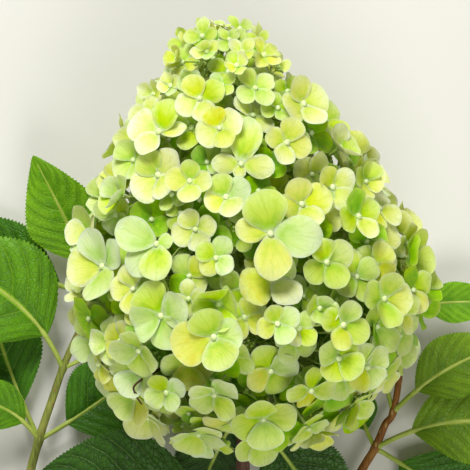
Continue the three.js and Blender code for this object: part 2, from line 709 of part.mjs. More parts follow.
/** Part of a side shoot between two places, with swollen leaf nodes. */
function shootPart(name, limb, from, to, nodes, colour) {
  const perPlace = 2;
  const points = [];
  const radii = [];
  const steps = (to - from) * perPlace;
  for (let i = 0; i <= steps; i += 1) {
    const at = from + i / perPlace;
    points.push(limb.point(at));
    radii.push(limb.radius(at) * (nodes.includes(at) ? NODE_SWELL : 1));
  }
  if (from === 0) {
    const first = limb.direction(0.1);
    const reach = clearStart(stemRadius(-150) * 1.02, STEM_DIR, first, radii[0]);
    points[0] = along(stemPoint(-150), first, reach);
  } else {
    points[0] = along(points[0], limb.direction(from), GAP);
  }
  const solid = tube(points, radii, 6, [from > 0 && limb.direction(from), limb.direction(to - 0.01)]);
  addMesh(name, solid, colour, 0.7);
  place(toManifold(solid), name);
}
shootPart("left_shoot_lower", limbs.left, 0, LEFT_SPLIT, LEFT_NODES, COLOURS.left);
shootPart("left_shoot_upper", limbs.left, LEFT_SPLIT, LEFT_SHOOT.length - 1, LEFT_NODES, COLOURS.left);
shootPart("right_shoot_lower", limbs.right, 0, RIGHT_SPLIT, RIGHT_NODES, COLOURS.right);
shootPart("right_shoot_upper", limbs.right, RIGHT_SPLIT, RIGHT_SHOOT.length - 1, RIGHT_NODES, COLOURS.right);

for (const leaf of LEAVES) {
  const solid = leafSolid(leaf);
  addMesh(leaf.name, solid, COLOURS.leaf, 0.75);
  place(toManifold(solid), leaf.name);
}

// Sprays: each side branch with its florets, as one solid
for (const branch of branches) {
  const radii = branch.points.map((p, i) => THREE.MathUtils.lerp(BRANCH_RADIUS, BRANCH_TIP_RADIUS, i / 4));
  branch.solid = toManifold(tube(branch.points, radii, 4));
  place(branch.solid, branch.name);
}
for (const floret of florets) {
  const solid = toManifold(floretSolid(floret));
  if (keepsClear(solid, floret.branch.name)) {
    floret.branch.solid = floret.branch.solid.add(solid);
    place(solid, floret.branch.name);
  }
}
branches.forEach((branch, i) => {
  const [whole] = branch.solid.simplify(0.05).decompose().sort((a, b) => b.volume() - a.volume());
  const mesh = whole.getMesh();
  const colour = COLOURS.bloom[i % COLOURS.bloom.length];
  addMesh(branch.name, { positions: mesh.vertProperties, tris: mesh.triVerts }, colour, 0.6);
});

// The branch rests on its lowest points, centred over the origin
const box = new THREE.Box3().setFromObject(group);
const centre = box.getCenter(new THREE.Vector3());
group.position.set(-centre.x, -centre.y, -box.min.z);

export default group;
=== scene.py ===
import math
from functools import partial

import bpy
import numpy as np
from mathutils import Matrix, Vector


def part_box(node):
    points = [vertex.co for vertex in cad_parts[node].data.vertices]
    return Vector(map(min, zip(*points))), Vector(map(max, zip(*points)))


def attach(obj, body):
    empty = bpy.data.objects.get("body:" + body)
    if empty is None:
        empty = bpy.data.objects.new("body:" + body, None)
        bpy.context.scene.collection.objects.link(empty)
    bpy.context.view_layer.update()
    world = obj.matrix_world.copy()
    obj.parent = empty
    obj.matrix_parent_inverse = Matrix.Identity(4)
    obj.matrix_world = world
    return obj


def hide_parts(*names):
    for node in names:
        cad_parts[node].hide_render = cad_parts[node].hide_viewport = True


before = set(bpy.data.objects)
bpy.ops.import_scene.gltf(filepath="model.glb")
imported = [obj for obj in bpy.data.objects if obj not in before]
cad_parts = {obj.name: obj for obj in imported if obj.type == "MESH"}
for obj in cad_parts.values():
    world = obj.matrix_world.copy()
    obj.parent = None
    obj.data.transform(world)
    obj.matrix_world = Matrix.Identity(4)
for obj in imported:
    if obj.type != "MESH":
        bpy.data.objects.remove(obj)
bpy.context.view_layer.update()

# A cut flowering branch of a panicle hydrangea, lying on a pale floor, seen from straight above.
# It is worked out in millimetres, in the directions of the CAD solids, and then shifted onto them.
MM = 0.001

# Directions of the flowering shoot
TILT = math.radians(16)  # rise from the floor
LEAN = math.radians(3.6)  # of the bloom, to the left
UP = np.array([0.0, 0.0, 1.0])
AXIS = np.array([-math.sin(LEAN) * math.cos(TILT), math.cos(LEAN) * math.cos(TILT), math.sin(TILT)])
RIGHT = np.cross(AXIS, UP) / np.linalg.norm(np.cross(AXIS, UP))
FRONT = np.cross(RIGHT, AXIS)
STEM_DIR = np.array([0.0, math.cos(TILT), math.sin(TILT)])

# Bloom: a blunt cone, measured along its axis from its lower edge
BLOOM_FOOT = np.array([0.0, 0.0, 61.5])  # where the stem ends and the bloom's axis starts
FOOT_HEIGHT = 23  # the height of that place in the bloom
BLOOM_HEIGHT = 196
BLOOM_RADIUS = 76.5
FULLER_RIGHT = 0.07  # share by which its right side is wider and its left side narrower
WIDEST = 0.372  # share of its height at which it is widest
LOWER_ROUND = (2.2, 0.6)  # powers that round its outline below that place and above it
UPPER_ROUND = (1.28, 0.74)
GAP = 0.35  # kept between two solids that meet

# Stems
STEM_LENGTH = 205.6
STEM_FOOT_RADIUS = 4.9
STEM_TOP_RADIUS = 2.8
RACHIS_RADIUS = 2.6
RACHIS_TIP_RADIUS = 0.8
RACHIS_LENGTH = 156
NODE_SWELL = 1.16  # a limb's radius at its nodes, as a share of the plain one
FLATS = 0.93  # share of its radius that a solid limb has at its flat sides
STEM_NODES = ((-8, 0.2), (-54, 0.2), (-150, 0.26))  # place along the stem and swelling of each leaf node

# Side branches of the bloom: three to a tier, each tier turned against the last
PER_TIER = 3
TIER_NODES = (24, 40, 59, 79, 99, 119, 139, 157)  # heights at which they leave the axis
TIER_TIPS = (9, 32, 55, 80, 106, 130, 153, 170)  # heights at which they end
TIER_TURN = 60
FIRST_BEARING = 20
BRANCH_REACH = 0.62  # shares of the bloom's radius at a side branch's tip and at its elbow
ELBOW_REACH = 0.34
ELBOW_DROP = 0.25  # the elbow's height, as a share of the way from foot to tip
BRANCH_STEPS = 4
BRANCH_RADIUS = 1.25
BRANCH_TIP_RADIUS = 0.9

# Florets: four broad sepals on a thin stalk
GOLDEN_TURN = 137.508
STALK_RADIUS = 0.5
STALK_SPREAD = 22  # a stalk starts one step down its side branch for each of these in length
STALK_LONGEST = 60
FORK_NEIGHBOURS = 7
FORK_STEPS = (8, 6, 4)  # tenths of the neighbour's stalk
FORK_SPAN = (3, 34)  # shortest and longest stalk that forks from another
SEPAL_BUTT = 1.5  # thickness of the solids' florets in the middle
BUTT_OVER = 0.4  # share of it over the sepals' faces
CUP = (0.02, 0.22)  # from almost flat to the deepest cup
PAIR_RISE = 0.05  # how steeply one pair of sepals rises over the other
OUTWARD = 0.35  # how far a floret turns to look along its stalk
STEEPEST = 0.3  # least cosine between a floret's direction and its stalk's
LEAST_CLEAR = 1.3  # kept between the sepals of two florets
STALK_CLEAR = 0.6  # kept between a sepal and a stalk
PRESSED_HEIGHT = 0.25  # florets that would reach lower are pressed inward
RINGS = (  # share of the bloom's radius, florets tried, smallest and largest span
    (1.0, 230, (20, 30)),
    (0.9, 170, (18, 25)),
    (0.79, 120, (15, 20)),
)
# How much further out a floret sits with each try, and the share of its size
TRIES = ((0, 1), (-4, 1), (3, 0.95), (-8, 0.9), (-12, 0.85), (-16, 0.8), (-6, 0.75))
MOST_FLORETS = 242
FACING = 0.45  # how far the florets on top turn up
MOST_LEAN = 1.2
SMALLER_FROM = 160  # florets above this height have only a share of their size
SMALLER = 0.8
UNEVEN = 0.03  # most that a floret lies inside its ring, as a share of the bloom's radius
ON_TOP = -0.2  # florets are on top where their bearing looks no further down than this

# Smaller florets that close the gaps between those of the solids
FILLER_RINGS = (  # share of the bloom's radius, florets tried, spans, and the heights between which they lie
    (1.02, 460, (19, 27), (0, 189)),
    (1.0, 120, (16, 23), (142, 189)),
    (0.98, 460, (17, 25), (0, 189)),
    (0.94, 420, (18, 27), (0, 189)),
    (0.88, 360, (17, 26), (0, 189)),
    (0.85, 90, (15, 22), (140, 186)),
    (0.81, 300, (16, 24), (0, 189)),
    (0.73, 220, (15, 22), (0, 189)),
    (0.62, 150, (14, 20), (0, 180)),
)
SHARED_TRIES = ((0, 1), (-2.5, 1), (2, 1), (-5, 0.98), (1, 0.92), (-7.5, 0.95), (3.5, 0.9))
FILLER_TRIES = SHARED_TRIES + ((-1.5, 0.85), (-10, 0.9), (-4, 0.8), (0.5, 0.78), (-1, 0.7))
OUTER_TRIES = SHARED_TRIES + ((-1.5, 0.87), (-10, 0.9), (-4, 0.84), (0.5, 0.82), (2.5, 0.84), (4.5, 0.85),
                              (-3, 0.8), (1.5, 0.8), (-6, 0.8))
FILLER_CLEAR = 0.4
FILLER_STALK_CLEAR = 0.1

# The large florets that are easily told apart: height, bearing, span, turn, tints of their four sepals
FIRST_LANDMARK = 1000
LANDMARKS = (
    (113, 14, 38, -4, "pale lime straw straw"),
    (154, -4, 22, 30, "cream golden cream straw"),
    (134, -19, 21, 0, "cream lime straw cream"),
    (138, 8, 31, -15, "cream lime cream cream"),
    (127, -2, 22, 5, "pale lime straw cream"),
    (151, -46, 28, -10, "cream lime cream cream"),
    (134, -41, 27, 30, "cream lime cream cream"),
    (109, -31, 29, -10, "pale pale pale lime"),
    (95, -59, 33, 25, "pale pale straw pale"),
    (104, -7, 20, 35, "pale lime straw pale"),
    (74, -8, 33, 15, "pale lime golden lime"),
    (32, 7, 26, 8, "lime lime lime lime"),
    (72, 1, 30, -25, "pale lime pale pale"),
    (146, 32, 22, -30, "straw straw straw cream"),
    (138, 33, 21, -10, "straw lime straw straw"),
    (121, 31, 26, -10, "straw straw straw cream"),
    (158, 57, 27, 0, "cream straw straw cream"),
    (165, -19, 22, 20, "lime straw cream cream"),
    (124, -26, 18, 10, "lime straw lime lime"),
    (78, 51, 28, -20, "straw lime lime lime"),
    (78, 12, 21, 20, "pale lime straw pale"),
    (73, 33, 26, -30, "lime lime lime straw"),
    (112, 53, 25, 10, "lime leafy lime straw"),
    (46, -28, 20, 30, "pale lime pale pale"),
)

# Sepals of the clearest ones: length and width as shares of the usual, and degrees swung from their quarter
SEPAL_SHAPES = {
    1000: ((1.16, 0.75, -6), (1.0, 0.93, 12), (0.8, 0.66, -12), (1.05, 0.74, 0)),
    1003: ((1.1, 0.68, 3), (1.55, 0.66, 3), (0.95, 0.68, 12), (0.5, 0.8, 0)),
    1005: ((0.95, 0.5, 20), (1.1, 0.82, -14), (1.1, 0.92, -4), (0.92, 0.85, -18)),
    1007: ((0.5, 0.9, 30), (1.35, 0.72, 80), (1.18, 0.8, 60), (1.15, 0.85, 20)),
    1008: ((0.95, 0.8, 20), (1.1, 0.8, 0), (1.1, 0.85, -10), (1.1, 0.95, 4)),
    1010: ((0.78, 1.05, -8), (0.8, 1.1, 8), (1.12, 0.95, -4), (0.92, 1.0, 8)),
    1011: ((1.15, 0.95, 8), (1.1, 0.9, 0), (1.1, 1.0, 0), (1.1, 1.05, -4)),
    131: ((0.9, 0.9, 0), (0.9, 0.8, 0), (1.38, 0.9, -14), (1.22, 0.85, -4)),
}

# Tints of some smaller florets that show a yellow sepal in the photograph, by their number in the rings
OWN_TINTS = {131: "lime pale golden cream", 81: "lime golden straw lime", 76: "lime golden lime pale"}
LEANING = 3  # the landmark that stands out furthest and looks toward the tip
UNDER_THE_LARGEST = 131  # the ring floret whose yellow sepal shows under the largest landmark
OFF_THE_STEM = {  # lowest florets in front: mm to the right, mm up the bloom, and share of their size
    13: (-6.5, 1.5, 0.76),
    34: (-1.5, 3.5, 0.82),
    8: (2.5, 2.0, 0.88),
}

# Florets that fill out the flanks: height, bearing, share of the radius, span
FIRST_FLANK_FLORET = 2100
FLANK_FLORETS = (
    (79, -66, 0.99, 23), (74, -57, 0.99, 25), (60, -62, 1.0, 26), (46, -72, 0.99, 23), (37, -85, 0.99, 23),
    (37, -59, 0.99, 23), (25, -62, 0.98, 21), (18, -50, 1.0, 21), (64, -52, 0.97, 25), (82, -50, 0.97, 24),
    (50, -48, 0.98, 25), (33, -44, 1.0, 22), (30, 67, 0.99, 23), (41, 73, 0.99, 24), (61, 85, 0.98, 24),
    (22, 58, 1.0, 21), (50, 60, 1.0, 25), (71, 75, 0.98, 25), (88, 68, 1.0, 24), (105, 72, 1.0, 24),
    (122, 70, 1.0, 22), (138, 66, 1.0, 20), (96, -70, 1.0, 24), (112, -68, 1.0, 24), (128, -72, 1.0, 22),
)
FIRST_FILLER = 3000

# Leafy side shoots, as places along their middle
LEFT_SHOOT = (
    (0, -143, 20), (-40, -138, 17), (-78, -116, 13.5), (-100, -82, 12), (-103, -52, 12), (-98, -29, 12),
    (-91.7, -9.7, 12), (-86.4, 5.7, 12.5), (-80.6, 19.2, 13), (-74, 34, 13.5), (-70.5, 46, 14),
)
RIGHT_SHOOT = (
    (0, -143, 20), (20, -110, 16), (41, -74, 13), (57.5, -43.4, 12), (63.8, -32.8, 12),
    (68.6, -21.7, 12), (72.5, -15.5, 12), (76, 5, 12.5), (77, 25, 13), (76, 42, 14),
)
LEFT_RADII = (3.1, 1.5)
RIGHT_RADII = (2.8, 1.35)
LEFT_NODES = (5, 7, 9.5)
RIGHT_NODES = (4, 6, 8.5)
LEFT_END = len(LEFT_SHOOT) - 1
RIGHT_END = len(RIGHT_SHOOT) - 1

# Leaves: CAD node, limb and place on it, whole length, half width, bearing and rise at both ends, roll, tint
LEAVES = (
    ("stem_leaf_1", "stem", -8, 84, 22, (-50, -62), (-6, -24), 4, "old_and_shaded"),
    ("stem_leaf_2", "stem", -8, 74, 18, (-118, -108), (-42, -30), -6, "old_and_shaded"),
    ("stem_leaf_3", "stem", -54, 104, 26, (172, 184), (6, -28), 2, "old_and_shaded"),
    ("stem_leaf_4", "stem", -54, 88, 23, (-26, -44), (-24, -24), -4, "old_and_shaded"),
    ("left_leaf_1", "left", 5, 88, 19, (116, 102), (-11, -5), 0, "full"),
    ("left_leaf_2", "left", 5, 52, 12, (122, 190), (28, 2), 12, "bright"),
    ("left_leaf_3", "left", 5, 66, 20, (30, 42), (-4, -8), 0, "full"),
    ("left_leaf_4", "left", 7, 88, 26, (112, 172), (24, -14), 10, "bright"),
    ("left_leaf_5", "left", 7, 40, 10, (24, 44), (2, -4), 0, "full"),
    ("left_leaf_6", "left", LEFT_END, 70, 18, (112, 118), (22, 8), -8, "young"),
    ("left_leaf_7", "left", 9.5, 88, 20, (166, 140), (-6, -4), 0, "full"),
    ("left_leaf_8", "left", 9.5, 50, 13, (14, 96), (-6, -2), 0, "full"),
    ("right_leaf_1", "right", 4, 88, 20, (30, -26), (18, -14), -10, "olive"),
    ("right_leaf_2", "right", 4, 70, 20, (-30, -48), (-8, -10), 0, "full"),
    ("right_leaf_3", "right", 4, 36, 9, (116, 96), (-16, -4), 0, "full"),
    ("right_leaf_4", "right", 6, 68, 15, (48, 12), (26, -8), -6, "olive"),
    ("right_leaf_5", "right", 6, 66, 17, (104, 106), (-10, 0), 0, "full"),
    ("right_leaf_6", "right", 8.5, 50, 10, (10, -4), (20, 0), 0, "young"),
    ("right_leaf_7", "right", RIGHT_END, 46, 11, (112, 128), (-6, -4), 0, "young"),
)
LEAF_STATIONS = 14
STALK_SHARE = 0.17
STALK_END = STALK_SHARE * LEAF_STATIONS
STALK_WIDTH = 1.15
LEAF_TIP_WIDTH = 0.4
LEAF_WIDEST = 0.4
LEAF_FOOT = 0.86
LEAF_TAPER = 1.7
FOLD = 0.16


# Small helpers

def unit(v):
    v = np.asarray(v, float)
    return v / np.linalg.norm(v, axis=-1, keepdims=True)


def lerp(a, b, t):
    return a + (b - a) * t


def ramp(value, low, high):
    """How far a value is from low to high, kept from 0 to 1."""
    return min(max((value - low) / (high - low), 0), 1)


def sine(degrees):
    return math.sin(math.radians(degrees))


def chance(i, k):
    """A number from 0 to 1 for item `i`, the same as the solids use. `k` only tells its draws apart."""
    mask = 0xFFFFFFFF
    h = (((i + 1) * 374761393) & mask) ^ (((k + 1) * 668265263) & mask)
    h = ((h ^ (h >> 13)) * 1274126177) & mask
    return ((h ^ (h >> 16)) & mask) / 4294967296


def bloom_radius(height, bearing=0.0):
    side = 1 + FULLER_RIGHT * sine(bearing)
    u = min(max(height / BLOOM_HEIGHT, 0.001), 0.999)
    if u < WIDEST:
        return BLOOM_RADIUS * side * (1 - (1 - u / WIDEST) ** LOWER_ROUND[0]) ** LOWER_ROUND[1]
    return BLOOM_RADIUS * side * (1 - ((u - WIDEST) / (1 - WIDEST)) ** UPPER_ROUND[0]) ** UPPER_ROUND[1]


def axis_point(height):
    return BLOOM_FOOT + AXIS * (height - FOOT_HEIGHT)


def spoke(bearing):
    a = math.radians(bearing)
    return FRONT * math.cos(a) + RIGHT * math.sin(a)


def bloom_point(height, bearing, share):
    """The place at a share of the bloom's radius."""
    return axis_point(height) + spoke(bearing) * (share * bloom_radius(height, bearing))


def bloom_normal(height, bearing):
    step = 2
    slope = (bloom_radius(height + step) - bloom_radius(height - step)) / (2 * step)
    return unit(spoke(bearing) - AXIS * slope)


def through_places(places, at):
    """Smooth curve through places, at a place number that may lie between two of them."""
    p = np.asarray(places, float)
    i = min(int(math.floor(at)), len(p) - 2)
    t = at - i
    p0, p1, p2, p3 = p[max(i - 1, 0)], p[i], p[i + 1], p[min(i + 2, len(p) - 1)]
    return 0.5 * (2 * p1 + (p2 - p0) * t + (2 * p0 - 5 * p1 + 4 * p2 - p3) * t**2
                  + (3 * p1 - p0 - 3 * p2 + p3) * t**3)


def clear_start(limb_radius, limb_direction, direction, radius):
    c = abs(float(np.dot(limb_direction, direction)))
    return (FLATS * limb_radius + GAP + radius * c) / math.sqrt(max(1 - c * c, 0.1))


def swollen(radii, places, nodes, width):
    """Radii along a limb that swells at its nodes."""
    for node_place, swell in nodes:
        radii = radii * (1 + swell * np.exp(-((places - node_place) / width) ** 2))
    return radii


class Shoot:
    """A side shoot through its places."""

    def __init__(self, places, radii):
        self.places, self.radii, self.end = places, radii, len(places) - 1

    def point(self, at):
        return through_places(self.places, at)

    def direction(self, at):
        return unit(self.point(at + 0.01) - self.point(at - 0.01))

    def radius(self, at):
        return lerp(self.radii[0], self.radii[1], at / self.end)


class Stem:
    """The straight main stem, measured from the bloom's lowest side branch."""

    end = None

    def point(self, at):
        return BLOOM_FOOT + STEM_DIR * at

    def direction(self, at):
        return STEM_DIR

    def radius(self, at):
        return lerp(STEM_TOP_RADIUS, STEM_FOOT_RADIUS, -at / STEM_LENGTH)


LIMBS = {"stem": Stem(), "left": Shoot(LEFT_SHOOT, LEFT_RADII), "right": Shoot(RIGHT_SHOOT, RIGHT_RADII)}


def blade_width(t):
    t = np.asarray(t, float)
    low = np.sin(0.5 * math.pi * np.clip(t / LEAF_WIDEST, 0, 1)) ** LEAF_FOOT
    high = 1 - np.clip((t - LEAF_WIDEST) / (1 - LEAF_WIDEST), 0, 1) ** LEAF_TAPER
    return np.where(t < LEAF_WIDEST, low, high)


def leaf_line(leaf):
    """The middle line of a leaf: points from the start of its stalk to its tip."""
    _, limb_name, at, length, _, bearing, rise, _, _ = leaf
    limb = LIMBS[limb_name]

    def heading(t):
        b = math.radians(lerp(bearing[0], bearing[1], t))
        r = math.radians(lerp(rise[0], rise[1], t))
        return np.array([math.cos(r) * math.cos(b), math.cos(r) * math.sin(b), math.sin(r)])

    first = heading(0)
    swell = limb.radius(at) * NODE_SWELL
    beside = clear_start(swell, limb.direction(at), first, STALK_WIDTH)
    start = GAP + STALK_WIDTH * 0.7 if at == limb.end else beside
    points = [limb.point(at) + first * start]
    step = (length - start) / LEAF_STATIONS
    for i in range(LEAF_STATIONS):
        points.append(points[-1] + heading((i + 0.5) / LEAF_STATIONS) * step)
    return np.array(points)


# Side branches of the bloom

def rachis_radius(height):
    return lerp(RACHIS_RADIUS, RACHIS_TIP_RADIUS, (height - FOOT_HEIGHT) / RACHIS_LENGTH)


def make_branch(node_height, tip, bearing):
    """Points of one side branch, bent round its elbow."""
    out = spoke(bearing)
    end = axis_point(tip) + out * (BRANCH_REACH * bloom_radius(tip, bearing))
    base = axis_point(node_height)
    elbow_height = node_height + ELBOW_DROP * (tip - node_height)
    elbow = axis_point(elbow_height) + out * (ELBOW_REACH * bloom_radius(tip))
    first = unit(elbow - base)
    start = base + first * clear_start(rachis_radius(node_height) * NODE_SWELL, AXIS, first, BRANCH_RADIUS)
    t = np.linspace(0, 1, BRANCH_STEPS + 1)[:, None]
    return start * (1 - t) ** 2 + elbow * 2 * t * (1 - t) + end * t**2


branches = []
for tier, node_height in enumerate(TIER_NODES):
    for j in range(PER_TIER):
        turn = FIRST_BEARING + j * 360 / PER_TIER + tier * TIER_TURN
        branches.append((f"spray_{tier + 1}_{'abc'[j]}", make_branch(node_height, TIER_TIPS[tier], turn)))
TIP_LINE = np.array([axis_point(FOOT_HEIGHT + RACHIS_LENGTH + GAP + rise) for rise in (0, 2, 4, 6, 8)])
branches.append(("spray_tip", TIP_LINE))


def branch_point(branch, at):
    i = min(int(math.floor(at)), BRANCH_STEPS - 1)
    points = branch[1]
    return lerp(points[i], points[i + 1], at - i)


ROOT_PLACES = [(b, at) for b in branches for at in np.arange(1, BRANCH_STEPS + 0.01, 0.25)]
ROOT_POINTS = np.array([branch_point(b, at) for b, at in ROOT_PLACES])


def root_of(middle, index):
    """Branch that a floret grows on, and the point where its stalk leaves it."""
    d = np.linalg.norm(ROOT_POINTS - middle, axis=1)
    k = int(np.argmin(d))
    branch, at = ROOT_PLACES[k]
    back = at - d[k] / STALK_SPREAD - 0.5 * chance(index, 7)
    place = max(back, 0.6 + 0.4 * chance(index, 8))
    return branch, place, branch_point(branch, place)


# Where the florets sit

SEPAL_PROBES = np.array([(1, 0), (0.94, 0.27), (0.94, -0.27), (0.64, 0.5), (0.64, -0.5), (0.45, 0)])
PROBE_X, PROBE_Y = SEPAL_PROBES.T
PROBE_TURNS = ((PROBE_X, PROBE_Y), (-PROBE_Y, PROBE_X), (-PROBE_X, -PROBE_Y), (PROBE_Y, -PROBE_X))
PROBES = np.concatenate([np.stack(turned, 1) for turned in PROBE_TURNS])
WALK = np.linspace(0, 1, 11)
FACE = ("middle", "normal", "u", "v", "reach", "cup")
SEPAL_MARGIN = 0.5
LIMB_MARGIN = 0.4
STALK_MARGIN = STALK_RADIUS + LIMB_MARGIN
LANDMARK_MARGIN = 1.5
SEAT = SEPAL_BUTT * (BUTT_OVER - 1)  # from a floret's middle to the top of its stalk

# The outline that a sepal is tested with: an ellipse, in shares of the floret's reach
OUTLINE_MIDDLE = 0.56
OUTLINE_LENGTH = 0.5
OUTLINE_WIDTH = 0.51
OUTLINE_REACH = 1.3
PAIR_REACH = 0.4
NEIGHBOURS = 1.1  # florets are tested against each other when nearer than this share of both their reaches

# How far a floret leans and turns with each try, and how those with a place of their own sit
FIRST_LEAN = 0.25
MORE_LEAN = 0.12
TURN_PER_TRY = 20
LANDMARK_SEAT = {"loose": 0.3, "facing": 0.8}
FLANK_SEAT = {"loose": 0.5, "facing": 1.2}
RING_TURN = 47
FILLER_TURN = 71
FILLER_FIRST = 23
FILLER_UNEVEN = 0.05
FILLER_ON_TOP = -0.3
SLIMMER_DEPTH = 0.14  # share of the bloom's radius that its fillers draw in on the right, toward the tip
MORE_FACING = 0.7  # how much more the fillers turn up at the sides and at the tip
LOW_FACING = 0.35  # share of their turn that the fillers at the bloom's foot have
LOW = 70  # and from this height on all of it
TIP = (150, 180)  # heights between which the bloom's look goes over into that of its tip
TIP_SIZE = 0.78


def walk_between(start, end):
    """Points evenly along the straight way from start to end."""
    return start + (end - start) * WALK[:, None]


def face_of(f):
    return [f[name] for name in FACE]


class Florets:
    """The florets so far, as arrays, so that one call sets a new one against them all."""

    MOST = 1400
    PLACES = ("middle", "normal", "u", "v", "root", "neck")

    def __init__(self):
        self.n = 0
        for name in self.PLACES:
            setattr(self, name, np.zeros((self.MOST, 3)))
        self.reach = np.zeros(self.MOST)
        self.cup = np.zeros(self.MOST)
        self.walks = np.zeros((self.MOST, len(WALK), 3))
        self.facts = []

    def add(self, f, fact):
        for name in (*self.PLACES, "reach", "cup"):
            getattr(self, name)[self.n] = f[name]
        self.walks[self.n] = walk_between(f["root"], f["neck"])
        self.facts.append(fact)
        self.n += 1

    def face(self, which):
        """Middle, normal, both directions, reach and cup of some florets."""
        return [getattr(self, name)[which] for name in FACE]

    def face_rows(self, which):
        """The same, each a row of its own, to be set against a row of points."""
        return [values[:, None] for values in self.face(which)]

    def move(self, n, step):
        self.middle[n] += step
        self.neck[n] += step


florets = Florets()


def sepal_height(cup, reach, x, y):
    pair = np.where(np.abs(y) > np.abs(x), PAIR_RISE * np.minimum(np.abs(y), PAIR_REACH * reach), 0)
    return cup * (x * x + y * y) / reach + pair


def over(middle, normal, u, v, reach, cup, points, margin):
    """Signed distance of points over florets' faces, not a number where they are beside them."""
    d = points - middle
    x, y = (d * u).sum(-1), (d * v).sum(-1)
    a, b = np.maximum(np.abs(x), np.abs(y)), np.minimum(np.abs(x), np.abs(y))
    along = (a / reach - OUTLINE_MIDDLE) / OUTLINE_LENGTH
    half = OUTLINE_WIDTH * reach * np.sqrt(np.maximum(0, 1 - along**2))
    near = (d * d).sum(-1) <= (reach * OUTLINE_REACH + margin) ** 2
    on = (a < reach + margin) & (b < half + margin) & near
    return np.where(on, (d * normal).sum(-1) - sepal_height(cup, reach, x, y), np.nan)


def probes_of(middle, normal, u, v, reach, cup):
    """The probe points of one floret or of many."""
    reach, cup = np.asarray(reach)[..., None], np.asarray(cup)[..., None]
    x, y = PROBES[:, 0] * reach, PROBES[:, 1] * reach
    z = sepal_height(cup, reach, x, y)
    middle, normal, u, v = (q[..., None, :] for q in (middle, normal, u, v))
    return middle + u * x[..., None] + v * y[..., None] + normal * z[..., None]


def over_each_sepal(middle, normal, u, v, reach, cup, points, margin):
    """The same distances four times, each time with only the points over one of the four sepals."""
    d = over(middle, normal, u, v, reach, cup, points, margin)
    away = points - middle
    x, y = (away * u).sum(-1), (away * v).sum(-1)
    which = np.where(np.abs(x) > np.abs(y), np.where(x > 0, 0, 2), np.where(y > 0, 1, 3))
    return np.stack([np.where(which == k, d, np.nan) for k in range(4)], -2)


def crosses(d, least):
    """Whether a row of distances comes too near, or lies on both sides."""
    with np.errstate(invalid="ignore"):
        return (np.abs(d) < least).any(-1) | ((d > 0).any(-1) & (d < 0).any(-1))


def sepals_cross(d, least):
    """Whether any sepal of one floret comes too near one of another, or lies on both its sides."""
    return crosses(d.reshape(*d.shape[:-1], 4, len(SEPAL_PROBES)), least).any()


def clear_of_florets(f, least, stalk_clear, woven):
    """Whether a floret stays on its own side of the others. A woven one may pass over and under sepals."""
    n = florets.n
    if n == 0:
        return True
    apart = ((florets.middle[:n] - f["middle"]) ** 2).sum(1)
    near = np.nonzero(apart <= ((florets.reach[:n] + f["reach"]) * NEIGHBOURS) ** 2)[0]
    one, touch = face_of(f), STALK_RADIUS + stalk_clear
    if len(near):
        mine, theirs = probes_of(*one)[None], probes_of(*florets.face(near))
        for face, points in ((florets.face_rows(near), mine), (one, theirs)):
            if woven and sepals_cross(over_each_sepal(*face, points, SEPAL_MARGIN), least):
                return False
            if not woven and crosses(over(*face, points, SEPAL_MARGIN), least).any():
                return False
    if woven:
        beside = np.nonzero(apart <= STALK_LONGEST**2)[0]
        return not crosses(over(*one, florets.walks[beside], STALK_MARGIN), touch).any()
    walk = walk_between(f["root"], f["neck"])[None]
    if crosses(over(*florets.face_rows(slice(n)), walk, STALK_MARGIN), touch).any():
        return False
    return not crosses(over(*one, florets.walks[:n], STALK_MARGIN), touch).any()


def open_way(f, stalk_clear):
    """Where a woven floret's stalk can start: on its side branch, or forking from a neighbour's stalk."""
    n = florets.n
    apart = np.linalg.norm(florets.neck[:n] - f["neck"], axis=1)
    ways, forks = [f["root"]], [None]
    for k in np.argsort(apart)[:FORK_NEIGHBOURS]:
        for step in FORK_STEPS:
            way = florets.walks[k][step]
            stalk = f["neck"] - way
            fits = FORK_SPAN[0] < np.linalg.norm(stalk) < FORK_SPAN[1]
            if fits and float(unit(stalk) @ f["normal"]) > STEEPEST:
                ways.append(way)
                forks.append((k, step))
    ways = np.array(ways)
    paths = walk_between(ways[:, None], f["neck"])
    near = np.nonzero(apart < STALK_LONGEST)[0]
    d = over(*florets.face_rows(near), paths.reshape(1, -1, 3), STALK_MARGIN)
    d = d.reshape(len(near), len(ways), -1)
    free = np.nonzero(~crosses(d, STALK_RADIUS + stalk_clear).any(0))[0]
    return (ways[free[0]], forks[free[0]]) if len(free) else None


# What florets keep clear of inside the bloom and close under it: starts, ends and radii
STEM_UNDER_BLOOM = 60
inner = [
    (axis_point(FOOT_HEIGHT), axis_point(FOOT_HEIGHT + RACHIS_LENGTH), RACHIS_RADIUS),
    (BLOOM_FOOT - STEM_DIR * STEM_UNDER_BLOOM, BLOOM_FOOT, STEM_TOP_RADIUS + 0.5),
]
for leaf in LEAVES[:2]:
    middle_line = leaf_line(leaf)
    inner += [(middle_line[0], middle_line[4], 2.5), (middle_line[4], middle_line[8], 7)]
for _, points in branches:
    inner += [(points[0], points[2], BRANCH_RADIUS), (points[2], points[4], BRANCH_RADIUS)]
INNER_WALKS = np.array([walk_between(start, end) for start, end, _ in inner])
INNER_RADII = np.array([radius for *_, radius in inner])[:, None]


def clear_of_limbs(f, stalk_clear):
    d = over(*face_of(f), INNER_WALKS, INNER_RADII + LIMB_MARGIN)
    return not crosses(d, INNER_RADII + stalk_clear).any()


def hides_landmark(f):
    """Whether a floret would lie over one of those that are easily told apart."""
    shown = [i for i in range(florets.n) if "tints" in florets.facts[i]]
    mine = np.concatenate([probes_of(*face_of(f)), [f["middle"]]])
    d = over(*florets.face_rows(shown), mine[None], LANDMARK_MARGIN)
    return bool((np.nan_to_num(d, nan=-1) > 0).any())


